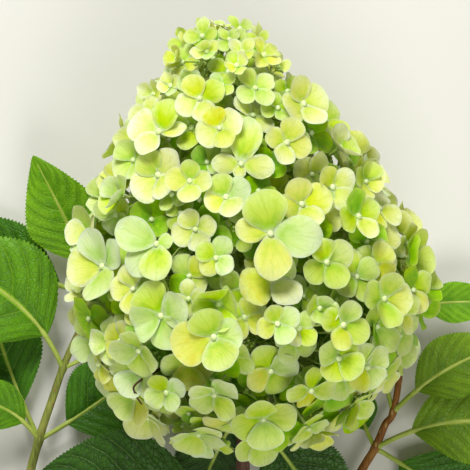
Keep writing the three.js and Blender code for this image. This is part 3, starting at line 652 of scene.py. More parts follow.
def try_floret(height, bearing, share, span, turn, index, fact, tries=TRIES, loose=1, facing=0):
    """Places one floret, or none where it would touch another. Those that the solids lack are woven in."""
    woven = tries is not TRIES
    least, stalk_clear = (FILLER_CLEAR, FILLER_STALK_CLEAR) if woven else (LEAST_CLEAR, STALK_CLEAR)
    out = spoke(bearing)
    for attempt, (shift, scale) in enumerate(tries):
        if woven and shift > 0:
            shift *= 1 - abs(out @ RIGHT)
        middle = axis_point(height) + out * (share * bloom_radius(height, bearing) + shift)
        normal = bloom_normal(height, bearing) + UP * facing
        lean = loose * min(FIRST_LEAN + MORE_LEAN * attempt, MOST_LEAN)
        across = np.cross(AXIS, out)
        normal = normal + AXIS * (lean * (chance(index, 10 + attempt) - 0.5) * 2)
        normal = normal + across * (lean * (chance(index, 20 + attempt) - 0.5) * 2)
        branch, place, root = root_of(middle, index)
        stalk = unit(middle - root)
        normal = unit(unit(normal) + stalk * OUTWARD)
        if float(normal @ stalk) <= STEEPEST:
            continue
        u = unit(np.cross(AXIS, normal))
        v = np.cross(normal, u)
        a = math.radians(turn + TURN_PER_TRY * attempt)
        u, v = u * math.cos(a) + v * math.sin(a), v * math.cos(a) - u * math.sin(a)
        f = {"middle": middle, "normal": normal, "u": u, "v": v, "reach": span * scale / 2,
             "cup": lerp(*CUP, chance(index, 5)), "root": root}
        lowest = probes_of(*face_of(f))[:, 2].min()
        if lowest < PRESSED_HEIGHT and out[2] < 0:
            f["middle"] = f["middle"] + out * ((lowest - PRESSED_HEIGHT) / -out[2])
        f["neck"] = f["middle"] + normal * SEAT
        if woven and hides_landmark(f):
            continue
        if not (clear_of_limbs(f, stalk_clear) and clear_of_florets(f, least, stalk_clear, woven)):
            continue
        if woven:
            way = open_way(f, stalk_clear)
            if way is None:
                continue
            f["root"], fact["fork"] = way
        florets.add(f, dict(fact, branch=branch, place=place, index=index, height=height, attempt=attempt,
                            bearing=bearing, share=share + shift / bloom_radius(height, bearing)))
        return


for i, (height, bearing, span, turn, tints) in enumerate(LANDMARKS):
    try_floret(height, bearing, 1, span, turn, FIRST_LANDMARK + i, {"tints": tints.split()}, **LANDMARK_SEAT)

# Area of the bloom's surface below each height, in parts of a turn
surface = [0.0]
for h in range(1, BLOOM_HEIGHT + 1):
    rise = math.hypot(1, bloom_radius(h) - bloom_radius(h - 1))
    surface.append(surface[-1] + bloom_radius(h - 0.5) * rise)
surface = np.array(surface)


def height_at_share(share):
    return max(int(np.argmax(surface >= share * surface[-1])), 1)


serial = 0
for ring, (share, count, span) in enumerate(RINGS):
    for i in range(count):
        if florets.n >= MOST_FLORETS:
            break
        height = height_at_share((i + 0.5) / count)
        bearing = i * GOLDEN_TURN + ring * RING_TURN
        size = lerp(*span, chance(serial, 1)) * (SMALLER if height > SMALLER_FROM else 1)
        depth = share - UNEVEN * chance(serial, 2)
        facing = FACING if spoke(bearing)[2] > ON_TOP else 0
        fact = {"tints": OWN_TINTS[serial].split()} if serial in OWN_TINTS else {}
        try_floret(height, bearing, depth, size, 90 * chance(serial, 3), serial, fact, facing=facing)
        serial += 1
CAD_FLORETS = florets.n


# What the photograph asks of the solids' florets

def turn_floret(n, toward, outward):
    """Turns a floret a little toward a direction and moves it outward, as it stands in the photograph."""
    florets.middle[n] += florets.normal[n] * outward
    normal = unit(florets.normal[n] + toward)
    florets.u[n] = unit(florets.u[n] - normal * (florets.u[n] @ normal))
    florets.v[n] = np.cross(normal, florets.u[n])
    florets.normal[n] = normal
    florets.neck[n] = florets.middle[n] + normal * SEAT


DRAW_IN = 6.5  # mm by which the bloom's right side draws in toward the tip
DRAWN_IN = (85, 170)  # heights between which it does so
STANDS_OUT = 6.5
YELLOW_STANDS_OUT = 4.0
TIP_DROP = 5
TIP_SPAN = (1.06, 0.84)  # shares of their size that florets have below the tip and at it
HANGING_BELOW = 70  # florets in front hang down below this height
LOWEST = 16  # and below this one the most
LOWEST_HANG = 0.6


def slimmer(height, bearing):
    """How much the bloom draws in at a place, from 0 to 1."""
    return ramp(height, *DRAWN_IN) * max(sine(bearing), 0)


def hanging(height, front):
    """How much the lowest florets in front hang down."""
    if height < LOWEST and front > 0.5:
        return LOWEST_HANG
    return 0.5 * max(front, 0) * max(HANGING_BELOW - height, 0) / 55


turn_floret(LEANING, AXIS * 0.22, STANDS_OUT)
for i in range(len(LANDMARKS), CAD_FLORETS):
    fact = florets.facts[i]
    height, bearing, index = fact["height"], fact["bearing"], fact["index"]
    front = spoke(bearing) @ FRONT
    florets.reach[i] *= lerp(*TIP_SPAN, ramp(height, *TIP))
    if height < 22 and front > 0.6:
        florets.reach[i] *= lerp(0.74, 1.0, height / 22)
    florets.move(i, RIGHT * (-DRAW_IN * slimmer(height, bearing)))
    if index == UNDER_THE_LARGEST:
        turn_floret(i, AXIS * 0.1, YELLOW_STANDS_OUT)
    if height > 168:
        turn_floret(i, UP * 0.5, 0)
    if height > 184:
        florets.move(i, AXIS * -TIP_DROP)
    if hanging(height, front) > 0 and "tints" not in fact:
        turn_floret(i, AXIS * -hanging(height, front), 0)
    if index in OFF_THE_STEM:
        right, up, size = OFF_THE_STEM[index]
        florets.reach[i] *= size
        florets.move(i, RIGHT * right + AXIS * up)

for i, (height, bearing, share, span) in enumerate(FLANK_FLORETS):
    index = FIRST_FLANK_FLORET + i
    try_floret(height, bearing, share, span, 90 * chance(i, 80), index, {}, OUTER_TRIES, **FLANK_SEAT)

serial = FIRST_FILLER
for ring, (share, count, span, (lowest, highest)) in enumerate(FILLER_RINGS):
    tries = OUTER_TRIES if share > 0.95 else FILLER_TRIES
    for i in range(count):
        along = (i + 0.5) / count
        height = height_at_share(along) if lowest == 0 else lerp(lowest, highest, along)
        bearing = i * GOLDEN_TURN + ring * FILLER_TURN + FILLER_FIRST
        front = spoke(bearing) @ FRONT
        if height > highest or (height < 9 and front > 0.7) or (height < 18 and front > 0.95):
            continue
        tipward = ramp(height, *TIP)
        size = lerp(*span, chance(serial, 1)) * lerp(1.0, TIP_SIZE, tipward)
        depth = share - FILLER_UNEVEN * chance(serial, 2) - SLIMMER_DEPTH * slimmer(height, bearing)
        facing = 0
        if spoke(bearing)[2] > FILLER_ON_TOP:
            facing = FACING + MORE_FACING * max(abs(sine(bearing)), tipward)
        facing *= lerp(LOW_FACING, 1.0, min(height / LOW, 1))
        try_floret(height, bearing, depth, size, 90 * chance(serial, 3), serial, {}, tries, facing=facing)
        serial += 1


# Meshes

SOLID_SIDES = 10  # the main stem's solid is a tapered column with this many
SHARPEST = 70  # degrees between two faces past which their edge is sharp


def ring_angles(sides):
    return 2 * math.pi * (np.arange(sides) + 0.5) / sides


def stem_shift():
    """From the millimetres worked out here to the row frame, read off the main stem's own solid."""
    side = unit(np.cross(STEM_DIR, UP))
    up = np.cross(side, STEM_DIR)
    a = ring_angles(SOLID_SIDES)
    ring = side * np.cos(a)[:, None] + up * np.sin(a)[:, None]
    stem = LIMBS["stem"]
    low = np.concatenate([stem.point(end) + ring * stem.radius(end) for end in (-STEM_LENGTH, 0)]).min(0)
    return np.array(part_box("main_stem")[0]) / MM - low


SHIFT = stem_shift()
FLOOR = -SHIFT[2]  # height of the surface that the branch lies on, in the millimetres used here


def join(name, parts, *materials):
    """One object from parts: each is vertices, faces, uv of each face corner or None, and material number."""
    verts, loops, totals, uvs, mats = [], [], [], [], []
    base = 0
    for vertices, faces, uv, material in parts:
        verts.append(vertices)
        for block, corner_uv in zip(faces, uv or [None] * len(faces)):
            loops.append(block.ravel() + base)
            totals.append(np.full(len(block), block.shape[1], np.int32))
            mats.append(np.full(len(block), material, np.int32))
            if corner_uv is not None:
                uvs.append(corner_uv.reshape(-1, 2))
        base += len(vertices)
    verts = (np.concatenate(verts) + SHIFT) * MM
    loops, totals, mats = np.concatenate(loops), np.concatenate(totals), np.concatenate(mats)
    mesh = bpy.data.meshes.new(name)
    mesh.vertices.add(len(verts))
    mesh.vertices.foreach_set("co", verts.astype(np.float32).ravel())
    mesh.loops.add(len(loops))
    mesh.loops.foreach_set("vertex_index", loops.astype(np.int32))
    mesh.polygons.add(len(totals))
    starts = np.concatenate([[0], np.cumsum(totals)[:-1]]).astype(np.int32)
    mesh.polygons.foreach_set("loop_start", starts)
    mesh.polygons.foreach_set("material_index", mats)
    mesh.update(calc_edges=True)
    if uvs:
        layer = mesh.uv_layers.new(name="OFBake")
        layer.uv.foreach_set("vector", np.concatenate(uvs).astype(np.float32).ravel())
    mesh.validate()
    for material in materials:
        mesh.materials.append(material)
    mesh.shade_smooth()
    mesh.set_sharp_from_angle(angle=math.radians(SHARPEST))
    obj = bpy.data.objects.new(name, mesh)
    bpy.context.scene.collection.objects.link(obj)
    return obj


def dress(obj, slot, *nodes):
    """Ties a finished piece to the CAD body and hides the solids that it stands for.

    `slot` is not used.
    """
    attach(obj, "root")
    if nodes:
        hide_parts(*sorted(set(nodes)))


def frames_along(points):
    """Two square directions at each point of a line, without twist."""
    tangent = unit(np.gradient(points, axis=0))
    side = np.cross(tangent[0], UP)
    if np.linalg.norm(side) < 1e-3:
        side = RIGHT
    sides = []
    for t in tangent:
        side = unit(side - t * float(side @ t))
        sides.append(side)
    sides = np.array(sides)
    return sides, np.cross(sides, tangent)


def fan(hub, around):
    """Triangles from a hub to a ring of vertices."""
    return np.stack([np.full(len(around), hub), around, np.roll(around, -1)], -1)


def tube(points, radii, sides, relief=0.0):
    """A closed tube along points, as a part. `relief` is added to the radius of each ring and side, in mm."""
    points = np.asarray(points, float)
    side, up = frames_along(points)
    a = ring_angles(sides)
    r = np.asarray(radii, float)[:, None] + relief
    ring = side[:, None] * np.cos(a)[None, :, None] + up[:, None] * np.sin(a)[None, :, None]
    verts = (points[:, None] + ring * r[..., None]).reshape(-1, 3)
    last = len(verts) - sides
    i, k = np.meshgrid(np.arange(len(points) - 1), np.arange(sides), indexing="ij")
    p, q = i * sides + k, i * sides + (k + 1) % sides
    quads = np.stack([p, q, q + sides, p + sides], -1).reshape(-1, 4)[:, ::-1]
    foot, end = fan(len(verts), np.arange(sides)), fan(len(verts) + 1, last + np.arange(sides))
    return np.concatenate([verts, points[[0, -1]]]), [quads, foot, end[:, ::-1]], None, 0


def bezier(a, b, c, d, n):
    t = np.linspace(0, 1, n)[:, None]
    return a * (1 - t) ** 3 + 3 * b * t * (1 - t) ** 2 + 3 * c * t**2 * (1 - t) + d * t**3


# Sepals

class Blade:
    """A closed thin sepal: two grids, pressed from a square into a disc, that share their edge."""

    def __init__(self, cells):
        x, y = np.meshgrid(*[np.linspace(-1, 1, cells + 1)] * 2, indexing="ij")
        self.disc_x = (x * np.sqrt(1 - y * y / 2)).ravel()
        self.disc_y = (y * np.sqrt(1 - x * x / 2)).ravel()
        i, j = np.meshgrid(np.arange(cells), np.arange(cells), indexing="ij")
        a = i * (cells + 1) + j
        quads = np.stack([a, a + cells + 1, a + cells + 2, a + 1], -1).reshape(-1, 4)
        self.inside = np.nonzero(((np.abs(x) < 1) & (np.abs(y) < 1)).ravel())[0]
        under = np.arange(len(self.disc_x))
        under[self.inside] = len(self.disc_x) + np.arange(len(self.inside))
        self.faces = np.concatenate([quads, under[quads][:, ::-1]])
        self.corner = np.concatenate([quads, quads[:, ::-1]])


BLADES = {cells: Blade(cells) for cells in (8, 6, 4)}
SEPAL_TILES = 4  # the sepals' patterns come in this many rows and columns
TILE_SHARE = 0.47  # half of a pattern's place that a sepal takes up
PATTERN_WIDE = 2.13  # a pattern's place is this wide where the sepal's disc is 2 wide
SEPAL_THICKNESS = 0.26
FLOOR_CLEAR = 0.1
KEEPS_TINT = 0.7  # share of a floret's sepals that have its own tint
INNER_DEPTH = 0.84  # shares of the bloom's radius within which florets are deep, and half deep
MIDDLE_DEPTH = 0.93
WIDER = 1.08  # the clearest florets' sepals are this much wider than SEPAL_SHAPES says
STANDING = 0.1  # share of the outer sepals that stand up
HABIT_CHANCES = 50000  # the first items whose chances are those of florets' habits and of single sepals
SEPAL_CHANCES = 20000
TINTS = ("cream", "pale", "lime", "straw", "leafy", "golden", "fresh")

# How often each tint but the last comes, and what a place on the bloom adds to that
# Painted shade: deep florets are mostly leafy and lime, a darker green for the shade in the gaps between
# florets
DEEP_SHADE_TINTS = (0.0, 0.0, 0.28, 0.04, 0.68, 0.0)
# Painted light: florets that look down get lighter cream, straw and lime tints for their shaded sides
DOWNWARD_LIGHTENED_TINTS = (0.4, 0.05, 0.22, 0.33, 0.0, 0.0)
MORE_AT_TIP = np.array([0.27, -0.12, -0.12, 0.24, -0.04, -0.01])
MORE_ON_RIGHT = np.array([0.0, -0.1, 0.05, 0.22, 0.02, 0.005])
MORE_AT_FOOT = np.array([-0.08, -0.02, 0.34, -0.06, 0.06, 0.04])
# Painted shade: low on the right there is more lime and leafy, and less cream, pale and straw
SHADE_LOW_ON_RIGHT = np.array([-0.12, -0.1, 0.3, -0.14, 0.2, 0.0])
LEAST_OFTEN = 0.01

# Where a sepal is tried when it turns up: along its middle line, and beside it
LIFT_ALONG = np.array([0.45, 0.7, 1.0, 0.6, 0.6, 0.9, 0.9])
LIFT_BESIDE = np.array([0, 0, 0, 0.4, -0.4, 0.3, -0.3])
LIFT_NEAR = 45  # mm between the middles of florets that a turned sepal might touch
LIFT_TRIES = 5
LIFT_LESS = 0.55  # share of the turn that is left after each try


def tint_weights(height, bearing, share, upward):
    """How often each tint but the last comes, by place on the bloom and by how far the floret looks up.

    Deep florets are leafy and lime and half-deep ones lean that way, a darker green that is painted shade of
    the gaps between florets. Those that look down are pale, painted light on their shaded sides. The rest go
    from pale on the left to straw on the right, creamier toward the tip and more lime toward the foot, with
    more lime and leafy low on the right as painted shade.
    """
    right = 0.5 + 0.5 * sine(bearing)
    # Painted shade: deep florets take the darker leafy and lime tints
    if share < INNER_DEPTH and height < 150:
        return list(DEEP_SHADE_TINTS)
    # Painted light: florets that look down get lighter tints, as their sides in view lie in shade
    if upward < 0.3:
        return list(DOWNWARD_LIGHTENED_TINTS)
    # Painted shade: half-deep florets lean to lime and leafy
    if share < MIDDLE_DEPTH:
        return [0.04, 0.1 * (1 - right), 0.46, 0.16, 0.23, 0.01]
    w = np.array([0.18, 0.48 * (1 - right) + 0.05, 0.38, 0.16, 0.03, 0.005])
    w += ramp(height, 70, 160) * MORE_AT_TIP
    w += right * MORE_ON_RIGHT
    w += ramp(height, 75, 30) * MORE_AT_FOOT
    # Painted shade: darker, greener tints low on the right
    w += right * ramp(height, 125, 65) * SHADE_LOW_ON_RIGHT
    w = np.maximum(w, LEAST_OFTEN)
    return list(w / w.sum())


def pick(weights, draw):
    total = 0.0
    for i, w in enumerate(weights):
        total += w
        if draw < total:
            return i
    return len(weights) - 1


def bend(lift, t):
    """A sepal's middle line, bent more and more toward its tip: its run, rise and slope at share t."""
    foot, rate = 0.35 * lift, 1.15 * lift
    rate = np.where(np.abs(rate) < 1e-4, 1e-4, rate)
    slope = foot + rate * t
    return (np.sin(slope) - np.sin(foot)) / rate, (np.cos(foot) - np.cos(slope)) / rate, slope


def lift_is_clear(n, quarter, length, lift):
    """Whether a sepal turned up by `lift` stays on its own side of every other floret."""
    c, s = ((1, 0), (0, 1), (-1, 0), (0, -1))[quarter]
    along = florets.u[n] * c + florets.v[n] * s
    across = florets.v[n] * c - florets.u[n] * s
    x = LIFT_BESIDE[:, None] * length
    run, rise, _ = (values[..., None] for values in bend(lift, LIFT_ALONG))
    points = florets.middle[n] + (along * run + florets.normal[n] * rise) * length + across * x
    apart = np.linalg.norm(florets.middle[:florets.n] - florets.middle[n], axis=1)
    near = np.nonzero((np.arange(florets.n) != n) & (apart < LIFT_NEAR))[0]
    return not crosses(over(*florets.face_rows(near), points[None], 1.0), 0.5).any()


def blade_cells(fact, reach):
    """How finely a floret's sepals are cut: finest where large and outside, coarsest deep inside."""
    if fact["share"] < 0.86:
        return 4
    return 8 if fact["share"] >= 0.92 and reach >= 9 else 6


def sepal_rows():
    """Everything that one sepal needs, for all sepals."""
    rows = []
    for n, fact in enumerate(florets.facts):
        index, height, own = fact["index"], fact["height"], "tints" in fact
        weights = tint_weights(height, fact["bearing"], fact["share"], florets.normal[n][2])
        # Fresh, a paler lime, comes less on the right and more on the left, a painted shade on the right
        fresh = 0.34 - 0.16 * sine(fact["bearing"])
        weights.append(weights[2] * fresh)
        weights[2] *= 1 - fresh
        main = pick(weights, chance(index, 40))
        reach = florets.reach[n]
        outer = fact["share"] > MIDDLE_DEPTH
        habit = [chance(HABIT_CHANCES + index, d) for d in range(5)]
        tipward = ramp(height, 120, 180)
        if own:
            cupped = 4 + 10 * habit[3]
        elif outer:
            cupped = lerp(-22 + 62 * habit[3], 12 + 34 * habit[3], tipward)
        else:
            cupped = -6 + 18 * habit[3]
        for k in range(4):
            draw = [chance(SEPAL_CHANCES + index * 4 + k, d) for d in range(18)]
            other = pick(weights, draw[1])
            tint = fact["tints"][k] if own else TINTS[main if draw[0] < KEEPS_TINT else other]
            length = reach * (0.88 + 0.19 * draw[4])
            width = 0.88 + 0.24 * habit[4] + 0.14 * (draw[5] - 0.5)
            width *= lerp(1.0, 0.78, ramp(height, 155, 180))
            swing = math.radians(14) * (draw[6] - 0.5)
            if index in SEPAL_SHAPES:
                long, wide, swung = SEPAL_SHAPES[index][k]
                length, width = reach * long, WIDER * wide
                swing = math.radians(swung - TURN_PER_TRY * fact["attempt"])
            lift = math.radians(cupped) + math.radians(8) * (draw[14] - 0.5)
            lift += math.radians(4 if k % 2 else -3)
            if outer and draw[2] < STANDING and not own:
                lift += math.radians(28)
            for _ in range(LIFT_TRIES):
                if abs(lift) < 0.05 or lift_is_clear(n, k, length, lift):
                    break
                lift *= LIFT_LESS
            rows.append({
                "floret": n, "quarter": k, "tint": tint, "cells": blade_cells(fact, reach),
                "tile": int(draw[3] * SEPAL_TILES * SEPAL_TILES),
                "length": length, "width": width, "swing": swing, "lift": lift,
                "arch": 0.02 + 0.16 * habit[0] + 0.14 * (draw[7] - 0.5),
                "gutter": -0.3 + 0.75 * habit[1] + 0.3 * tipward + 0.16 * (draw[8] - 0.5),
                "crease": 0.55 * max(draw[17] - 0.86, 0) / 0.14 if outer else 0.0,
                "tip": -0.55 * max(habit[2] - 0.45, 0) * (0.6 + 0.6 * draw[9]),
                "ruffle": 0.014 + 0.03 * draw[10],
                "phase": 6.28 * draw[11],
                "point": (0.02 if own else 0.1) * (draw[12] - 0.35),
                "notch": 0.012 * draw[13],
                "twist": 0.16 * (draw[15] - 0.5),
                "skew": 0.12 * (draw[16] - 0.5),
            })
    return rows


def build_sepals(rows, cells):
    """Many sepals at once, as a part. Outlines and heights are worked out in shares of the floret's reach."""
    blade = BLADES[cells]

    def get(key):
        return np.array([row[key] for row in rows], float)[:, None]

    f = np.array([row["floret"] for row in rows])
    quarter = np.array([row["quarter"] for row in rows])
    middle, normal, u, v, reach, cup = florets.face_rows(f)
    c, s = (np.array(turned)[quarter][:, None] for turned in ((1, 0, -1, 0), (0, 1, 0, -1)))
    straight = u[:, 0] * c + v[:, 0] * s
    square = v[:, 0] * c - u[:, 0] * s
    swing = get("swing")
    along = (straight * np.cos(swing) + square * np.sin(swing))[:, None]
    across = (square * np.cos(swing) - straight * np.sin(swing))[:, None]

    # Outline: a ragged disc, narrowed toward its foot, with a point or a notch at its tip
    disc_x, disc_y = blade.disc_x[None], blade.disc_y[None]
    r = np.sqrt(disc_x**2 + disc_y**2)
    angle = np.arctan2(disc_x, disc_y)
    ragged = 1 + get("notch") * np.sin(9 * angle + get("phase")) * r**4
    ragged = ragged + 0.018 * np.sin(3 * angle + 2 * get("phase")) * r**3
    ragged_x, ragged_y = disc_x * ragged, disc_y * ragged
    t = (ragged_y + 1) / 2
    taper = (1 - 0.42 * np.clip(1 - t, 0, 1) ** 2.2) * (1 + 0.1 * np.sin(math.pi * np.clip(t, 0, 1)))
    x = ragged_x * 0.5 * get("width") * taper + get("skew") * t * (1 - t)
    point = get("point") * np.clip(1 - np.abs(ragged_x) * 2.2, 0, 1) * np.clip(t, 0, 1) ** 6
    y = 0.02 + 0.98 * t + point
    x_share, y_share = x * get("length") / reach, y * get("length") / reach

    # Height: cup, arch, tip, gutter, twist, crease and ruffle, and then the bend of the whole sepal
    raised = (PAIR_RISE + 0.06) * np.minimum(y_share, 0.45)
    pair = np.where(quarter[:, None] % 2 == 1, raised, -0.02 * y_share)
    z = cup * (x_share**2 + y_share**2) + pair
    z = z + get("arch") * y_share * (1 - y_share) + get("tip") * np.clip(y_share - 0.62, 0, 1) ** 2 * 2
    z = z + get("gutter") * x_share**2 * (1 - 0.5 * y_share) + get("twist") * x_share * y_share
    z = z + get("crease") * np.abs(x_share)
    z = z + get("ruffle") * np.sin(4 * angle + get("phase")) * r**4
    run, rise, slope = bend(get("lift"), y_share)
    bent_y = run - z * np.sin(slope)
    bent_z = rise + z * np.cos(slope)
    top = (middle + along * (bent_y * reach)[..., None] + across * (x_share * reach)[..., None]
           + normal * (bent_z * reach + SEPAL_BUTT * BUTT_OVER * 0.6)[..., None])

    inside = blade.inside
    belly = SEPAL_THICKNESS * (1 - r[:, inside] ** 6)
    slope = slope[:, inside, None]
    under = top[:, inside] - (normal * np.cos(slope) - along * np.sin(slope)) * belly[..., None]
    verts = np.concatenate([top, under], 1)
    verts[..., 2] = np.maximum(verts[..., 2], FLOOR + FLOOR_CLEAR)
    count, per = verts.shape[:2]
    faces = (blade.faces[None] + (np.arange(count) * per)[:, None, None]).reshape(-1, 4)
    tile = np.array([row["tile"] for row in rows])[:, None]
    place_u = (tile % SEPAL_TILES + 0.5 + TILE_SHARE * disc_x) / SEPAL_TILES
    place_v = (tile // SEPAL_TILES + 0.5 + TILE_SHARE * disc_y) / SEPAL_TILES
    corner = np.stack([place_u[:, blade.corner], place_v[:, blade.corner]], -1)
    return verts.reshape(-1, 3), [faces], [corner], 0


# Materials

MULTIPLY = {"operation": "MULTIPLY"}
MULTIPLY_ADD = {"operation": "MULTIPLY_ADD"}
ADD = {"operation": "ADD"}
MAXIMUM = {"operation": "MAXIMUM"}
ABSOLUTE = {"operation": "ABSOLUTE"}
SINE = {"operation": "SINE"}
FLOORED = {"operation": "FLOOR"}
FRACTION = {"operation": "FRACTION"}
SMOOTH = {"interpolation_type": "SMOOTHSTEP"}  # inputs: value, from low, from high, to low, to high
COLOURS = {"data_type": "RGBA"}  # inputs: share of the second colour, first colour, second colour
FLAT = {"noise_dimensions": "2D"}
TO_EDGE = {"feature": "DISTANCE_TO_EDGE"}
BAKED_UV = {"uv_map": "OFBake"}


def linear(hex_colour):
    """sRGB hex to linear RGBA."""
    out = []
    for i in (1, 3, 5):
        c = int(hex_colour[i:i + 2], 16) / 255
        out.append(c / 12.92 if c <= 0.04045 else ((c + 0.055) / 1.055) ** 2.4)
    return (*out, 1.0)


def feed(socket, value):
    """Links an input to another node's output, or gives it a number or a colour."""
    if isinstance(value, bpy.types.NodeSocket):
        socket.id_data.links.new(value, socket)
    else:
        socket.default_value = value


def set_inputs(node, **values):
    for name, value in values.items():
        feed(node.inputs[name.replace("_", " ")], value)


def add_node(tree, kind, settings=None, *values, **named):
    """Adds a node with its settings. Numbers, colours or outputs go to its inputs in order or by name."""
    node = tree.nodes.new("ShaderNode" + kind)
    for name, value in (settings or {}).items():
        setattr(node, name, value)
    for socket, value in zip([socket for socket in node.inputs if socket.enabled], values):
        feed(socket, value)
    set_inputs(node, **named)
    return next(socket for socket in node.outputs if socket.enabled)


def new_material(name):
    """A material, what adds nodes to it, and its shader."""
    material = bpy.data.materials.new(name)
    material.use_nodes = True
    tree = material.node_tree
    return material, partial(add_node, tree), tree.nodes["Principled BSDF"]


def pattern_scale(size, places):
    """A pattern's scale from the size of its spots, in the same unit as its coordinates, rounded off."""
    return round(1 / size, places)


HALF_SEPAL = 6.12  # in mm; a sepal's patterns are drawn on a disc from -1 to 1
TILE_STEP = (7.3, 5.1, 0)  # moves the noise on from one tile to the next


def sepal_material(name, body, heart, rim, vein, blotch, blotch_share, rim_share):
    """A hydrangea sepal, as it grew: a thin, matt blade of soft cells that lets light through.

    It gives the eye a greener heart, a hem and tip washed out by the sun, broad stains, and fine veins that
    fan out from its foot. The veins are a tenth of a millimetre, too fine to show, so they are drawn coarser.
    """
    material, add, shader = new_material(name)
    stains, clouds, grain = (pattern_scale(size / HALF_SEPAL, 1) for size in (3.6, 1.36, 0.235))
    main_veins, small_veins = 8.0, 21.0
    scaled = add("VectorMath", {"operation": "SCALE"}, add("UVMap", BAKED_UV), SEPAL_TILES)
    tile = add("VectorMath", FLOORED, scaled)
    place = add("VectorMath", FRACTION, scaled)
    disc = add("VectorMath", MULTIPLY_ADD, place, (PATTERN_WIDE, PATTERN_WIDE, 0),
               (-PATTERN_WIDE / 2, -PATTERN_WIDE / 2, 0))
    x, y, _ = add("SeparateXYZ", None, disc).node.outputs
    luck = add("TexWhiteNoise", FLAT, tile).node.outputs["Color"]
    dice = add("SeparateColor", None, luck).node.outputs
    shifted = add("VectorMath", MULTIPLY_ADD, tile, TILE_STEP, disc)
    broad = add("TexNoise", FLAT, shifted, stains, 2.0)
    cloudy = add("TexNoise", FLAT, shifted, clouds, 3.0)
    fine = add("TexNoise", FLAT, shifted, grain, 2.0)

    radius = add("VectorMath", {"operation": "LENGTH"}, disc)
    from_foot = add("Math", MULTIPLY_ADD, y, 0.5, 0.5)
    fan_angle = add("Math", {"operation": "ARCTAN2"}, x, add("Math", ADD, y, 1.12))
    fan_angle = add("Math", ADD, fan_angle, add("Math", MULTIPLY_ADD, broad, 0.3, -0.15))
    main = add("Math", ABSOLUTE, add("Math", SINE, add("Math", MULTIPLY, fan_angle, main_veins)))
    small = add("Math", ABSOLUTE, add("Math", SINE, add("Math", MULTIPLY, fan_angle, small_veins)))
    main = add("MapRange", SMOOTH, main, 0.0, 0.42, 1.0, 0.0)
    small = add("MapRange", SMOOTH, small, 0.0, 0.7, 0.55, 0.0)
    small = add("Math", MULTIPLY, small, add("MapRange", SMOOTH, from_foot, 0.25, 0.6))
    lines = add("Math", MAXIMUM, main, small)
    lines = add("Math", MULTIPLY, lines, add("MapRange", SMOOTH, radius, 0.65, 1.0, 1.0, 0.25))

    near_heart = add("Math", ADD, from_foot, add("Math", MULTIPLY_ADD, broad, 0.5, -0.25))
    near_heart = add("MapRange", SMOOTH, near_heart, 0.02, 0.62)
    colour = add("Mix", COLOURS, near_heart, linear(heart), linear(body))
    edge = add("Math", ADD, radius, add("Math", MULTIPLY_ADD, cloudy, 0.36, -0.18))
    edge = add("MapRange", SMOOTH, edge, 0.52, 1.02)
    away = add("Math", ADD, from_foot, add("Math", MULTIPLY_ADD, broad, 0.6, -0.3))
    away = add("MapRange", SMOOTH, away, 0.45, 1.0)
    paleness = add("Math", MULTIPLY_ADD, dice[1], 0.5, rim_share)
    paler = add("Math", {**MULTIPLY, "use_clamp": True}, add("Math", MAXIMUM, edge, away), paleness)
    colour = add("Mix", COLOURS, paler, colour, linear(rim))
    hem = add("Math", MULTIPLY, add("MapRange", SMOOTH, radius, 0.9, 0.985), 0.5)
    colour = add("Mix", COLOURS, hem, colour, linear(rim))
    stain = add("Math", ADD, broad, add("Math", MULTIPLY_ADD, dice[0], 0.24, -0.12))
    stain = add("Math", MULTIPLY, add("MapRange", SMOOTH, stain, 0.5, 0.68), blotch_share)
    colour = add("Mix", COLOURS, stain, colour, linear(blotch))
    colour = add("Mix", COLOURS, add("Math", MULTIPLY, lines, 0.22), colour, linear(vein))
    foot = add("MapRange", SMOOTH, from_foot, 0.0, 0.13, 0.7, 0.0)
    colour = add("Mix", COLOURS, foot, colour, linear("#e4f0c4"))
    colour = add("HueSaturation", None, Color=colour, Hue=add("Math", MULTIPLY_ADD, dice[2], 0.01, 0.496),
                 Saturation=add("Math", MULTIPLY_ADD, dice[0], 0.2, 0.9),
                 Value=add("Math", MULTIPLY_ADD, dice[1], 0.14, 0.92))
    relief = add("Math", ADD, add("Math", MULTIPLY, lines, -0.6), add("Math", MULTIPLY, fine, 0.5))
    set_inputs(shader, Base_Color=colour, Roughness=add("Math", MULTIPLY_ADD, fine, 0.2, 0.42),
               Normal=add("Bump", None, Height=relief, Strength=0.25, Distance=0.0003),
               Specular_IOR_Level=0.13, Subsurface_Weight=0.42, Subsurface_Scale=0.0013,
               Subsurface_Radius=(0.9, 1.0, 0.35))
    return material


SEPAL_LOOKS = {
    # body, heart, rim, vein, blotch, share of blotch, share of rim
    "cream": ("#e5ec92", "#bcd83c", "#f2f8cc", "#aecc4c", "#d4de48", 0.36, 0.5),
    "pale": ("#d0e898", "#a4ce42", "#e8f6c6", "#94c44a", "#c6de58", 0.32, 0.42),
    "lime": ("#c5dc58", "#98c41c", "#e0f0ae", "#8cb81e", "#c8d838", 0.32, 0.32),
    "straw": ("#dce468", "#b6d226", "#eef5b8", "#a4c42a", "#d8dc40", 0.4, 0.38),
    # leafy: the darkest green, given mostly to deep florets as painted shade
    "leafy": ("#8ec20c", "#68a802", "#bce058", "#689806", "#b0cc18", 0.3, 0.2),
    "golden": ("#dae056", "#c0d51c", "#ecf4a6", "#a8c018", "#d8d434", 0.65, 0.32),
    "fresh": ("#cce27a", "#a0cc30", "#e6f4ba", "#8cbc2c", "#c6dc48", 0.3, 0.4),
}


# Pieces of the bloom

rows = sepal_rows()
for tint in TINTS:
    mine = [row for row in rows if row["tint"] == tint]
    groups = [(cells, [row for row in mine if row["cells"] == cells]) for cells in BLADES]
    parts = [build_sepals(group, cells) for cells, group in groups if group]
    piece = join(f"sepals_{tint}", parts, sepal_material(f"sepal_{tint}", *SEPAL_LOOKS[tint]))
    dress(piece, "sepal", *[florets.facts[row["floret"]]["branch"][0] for row in mine])


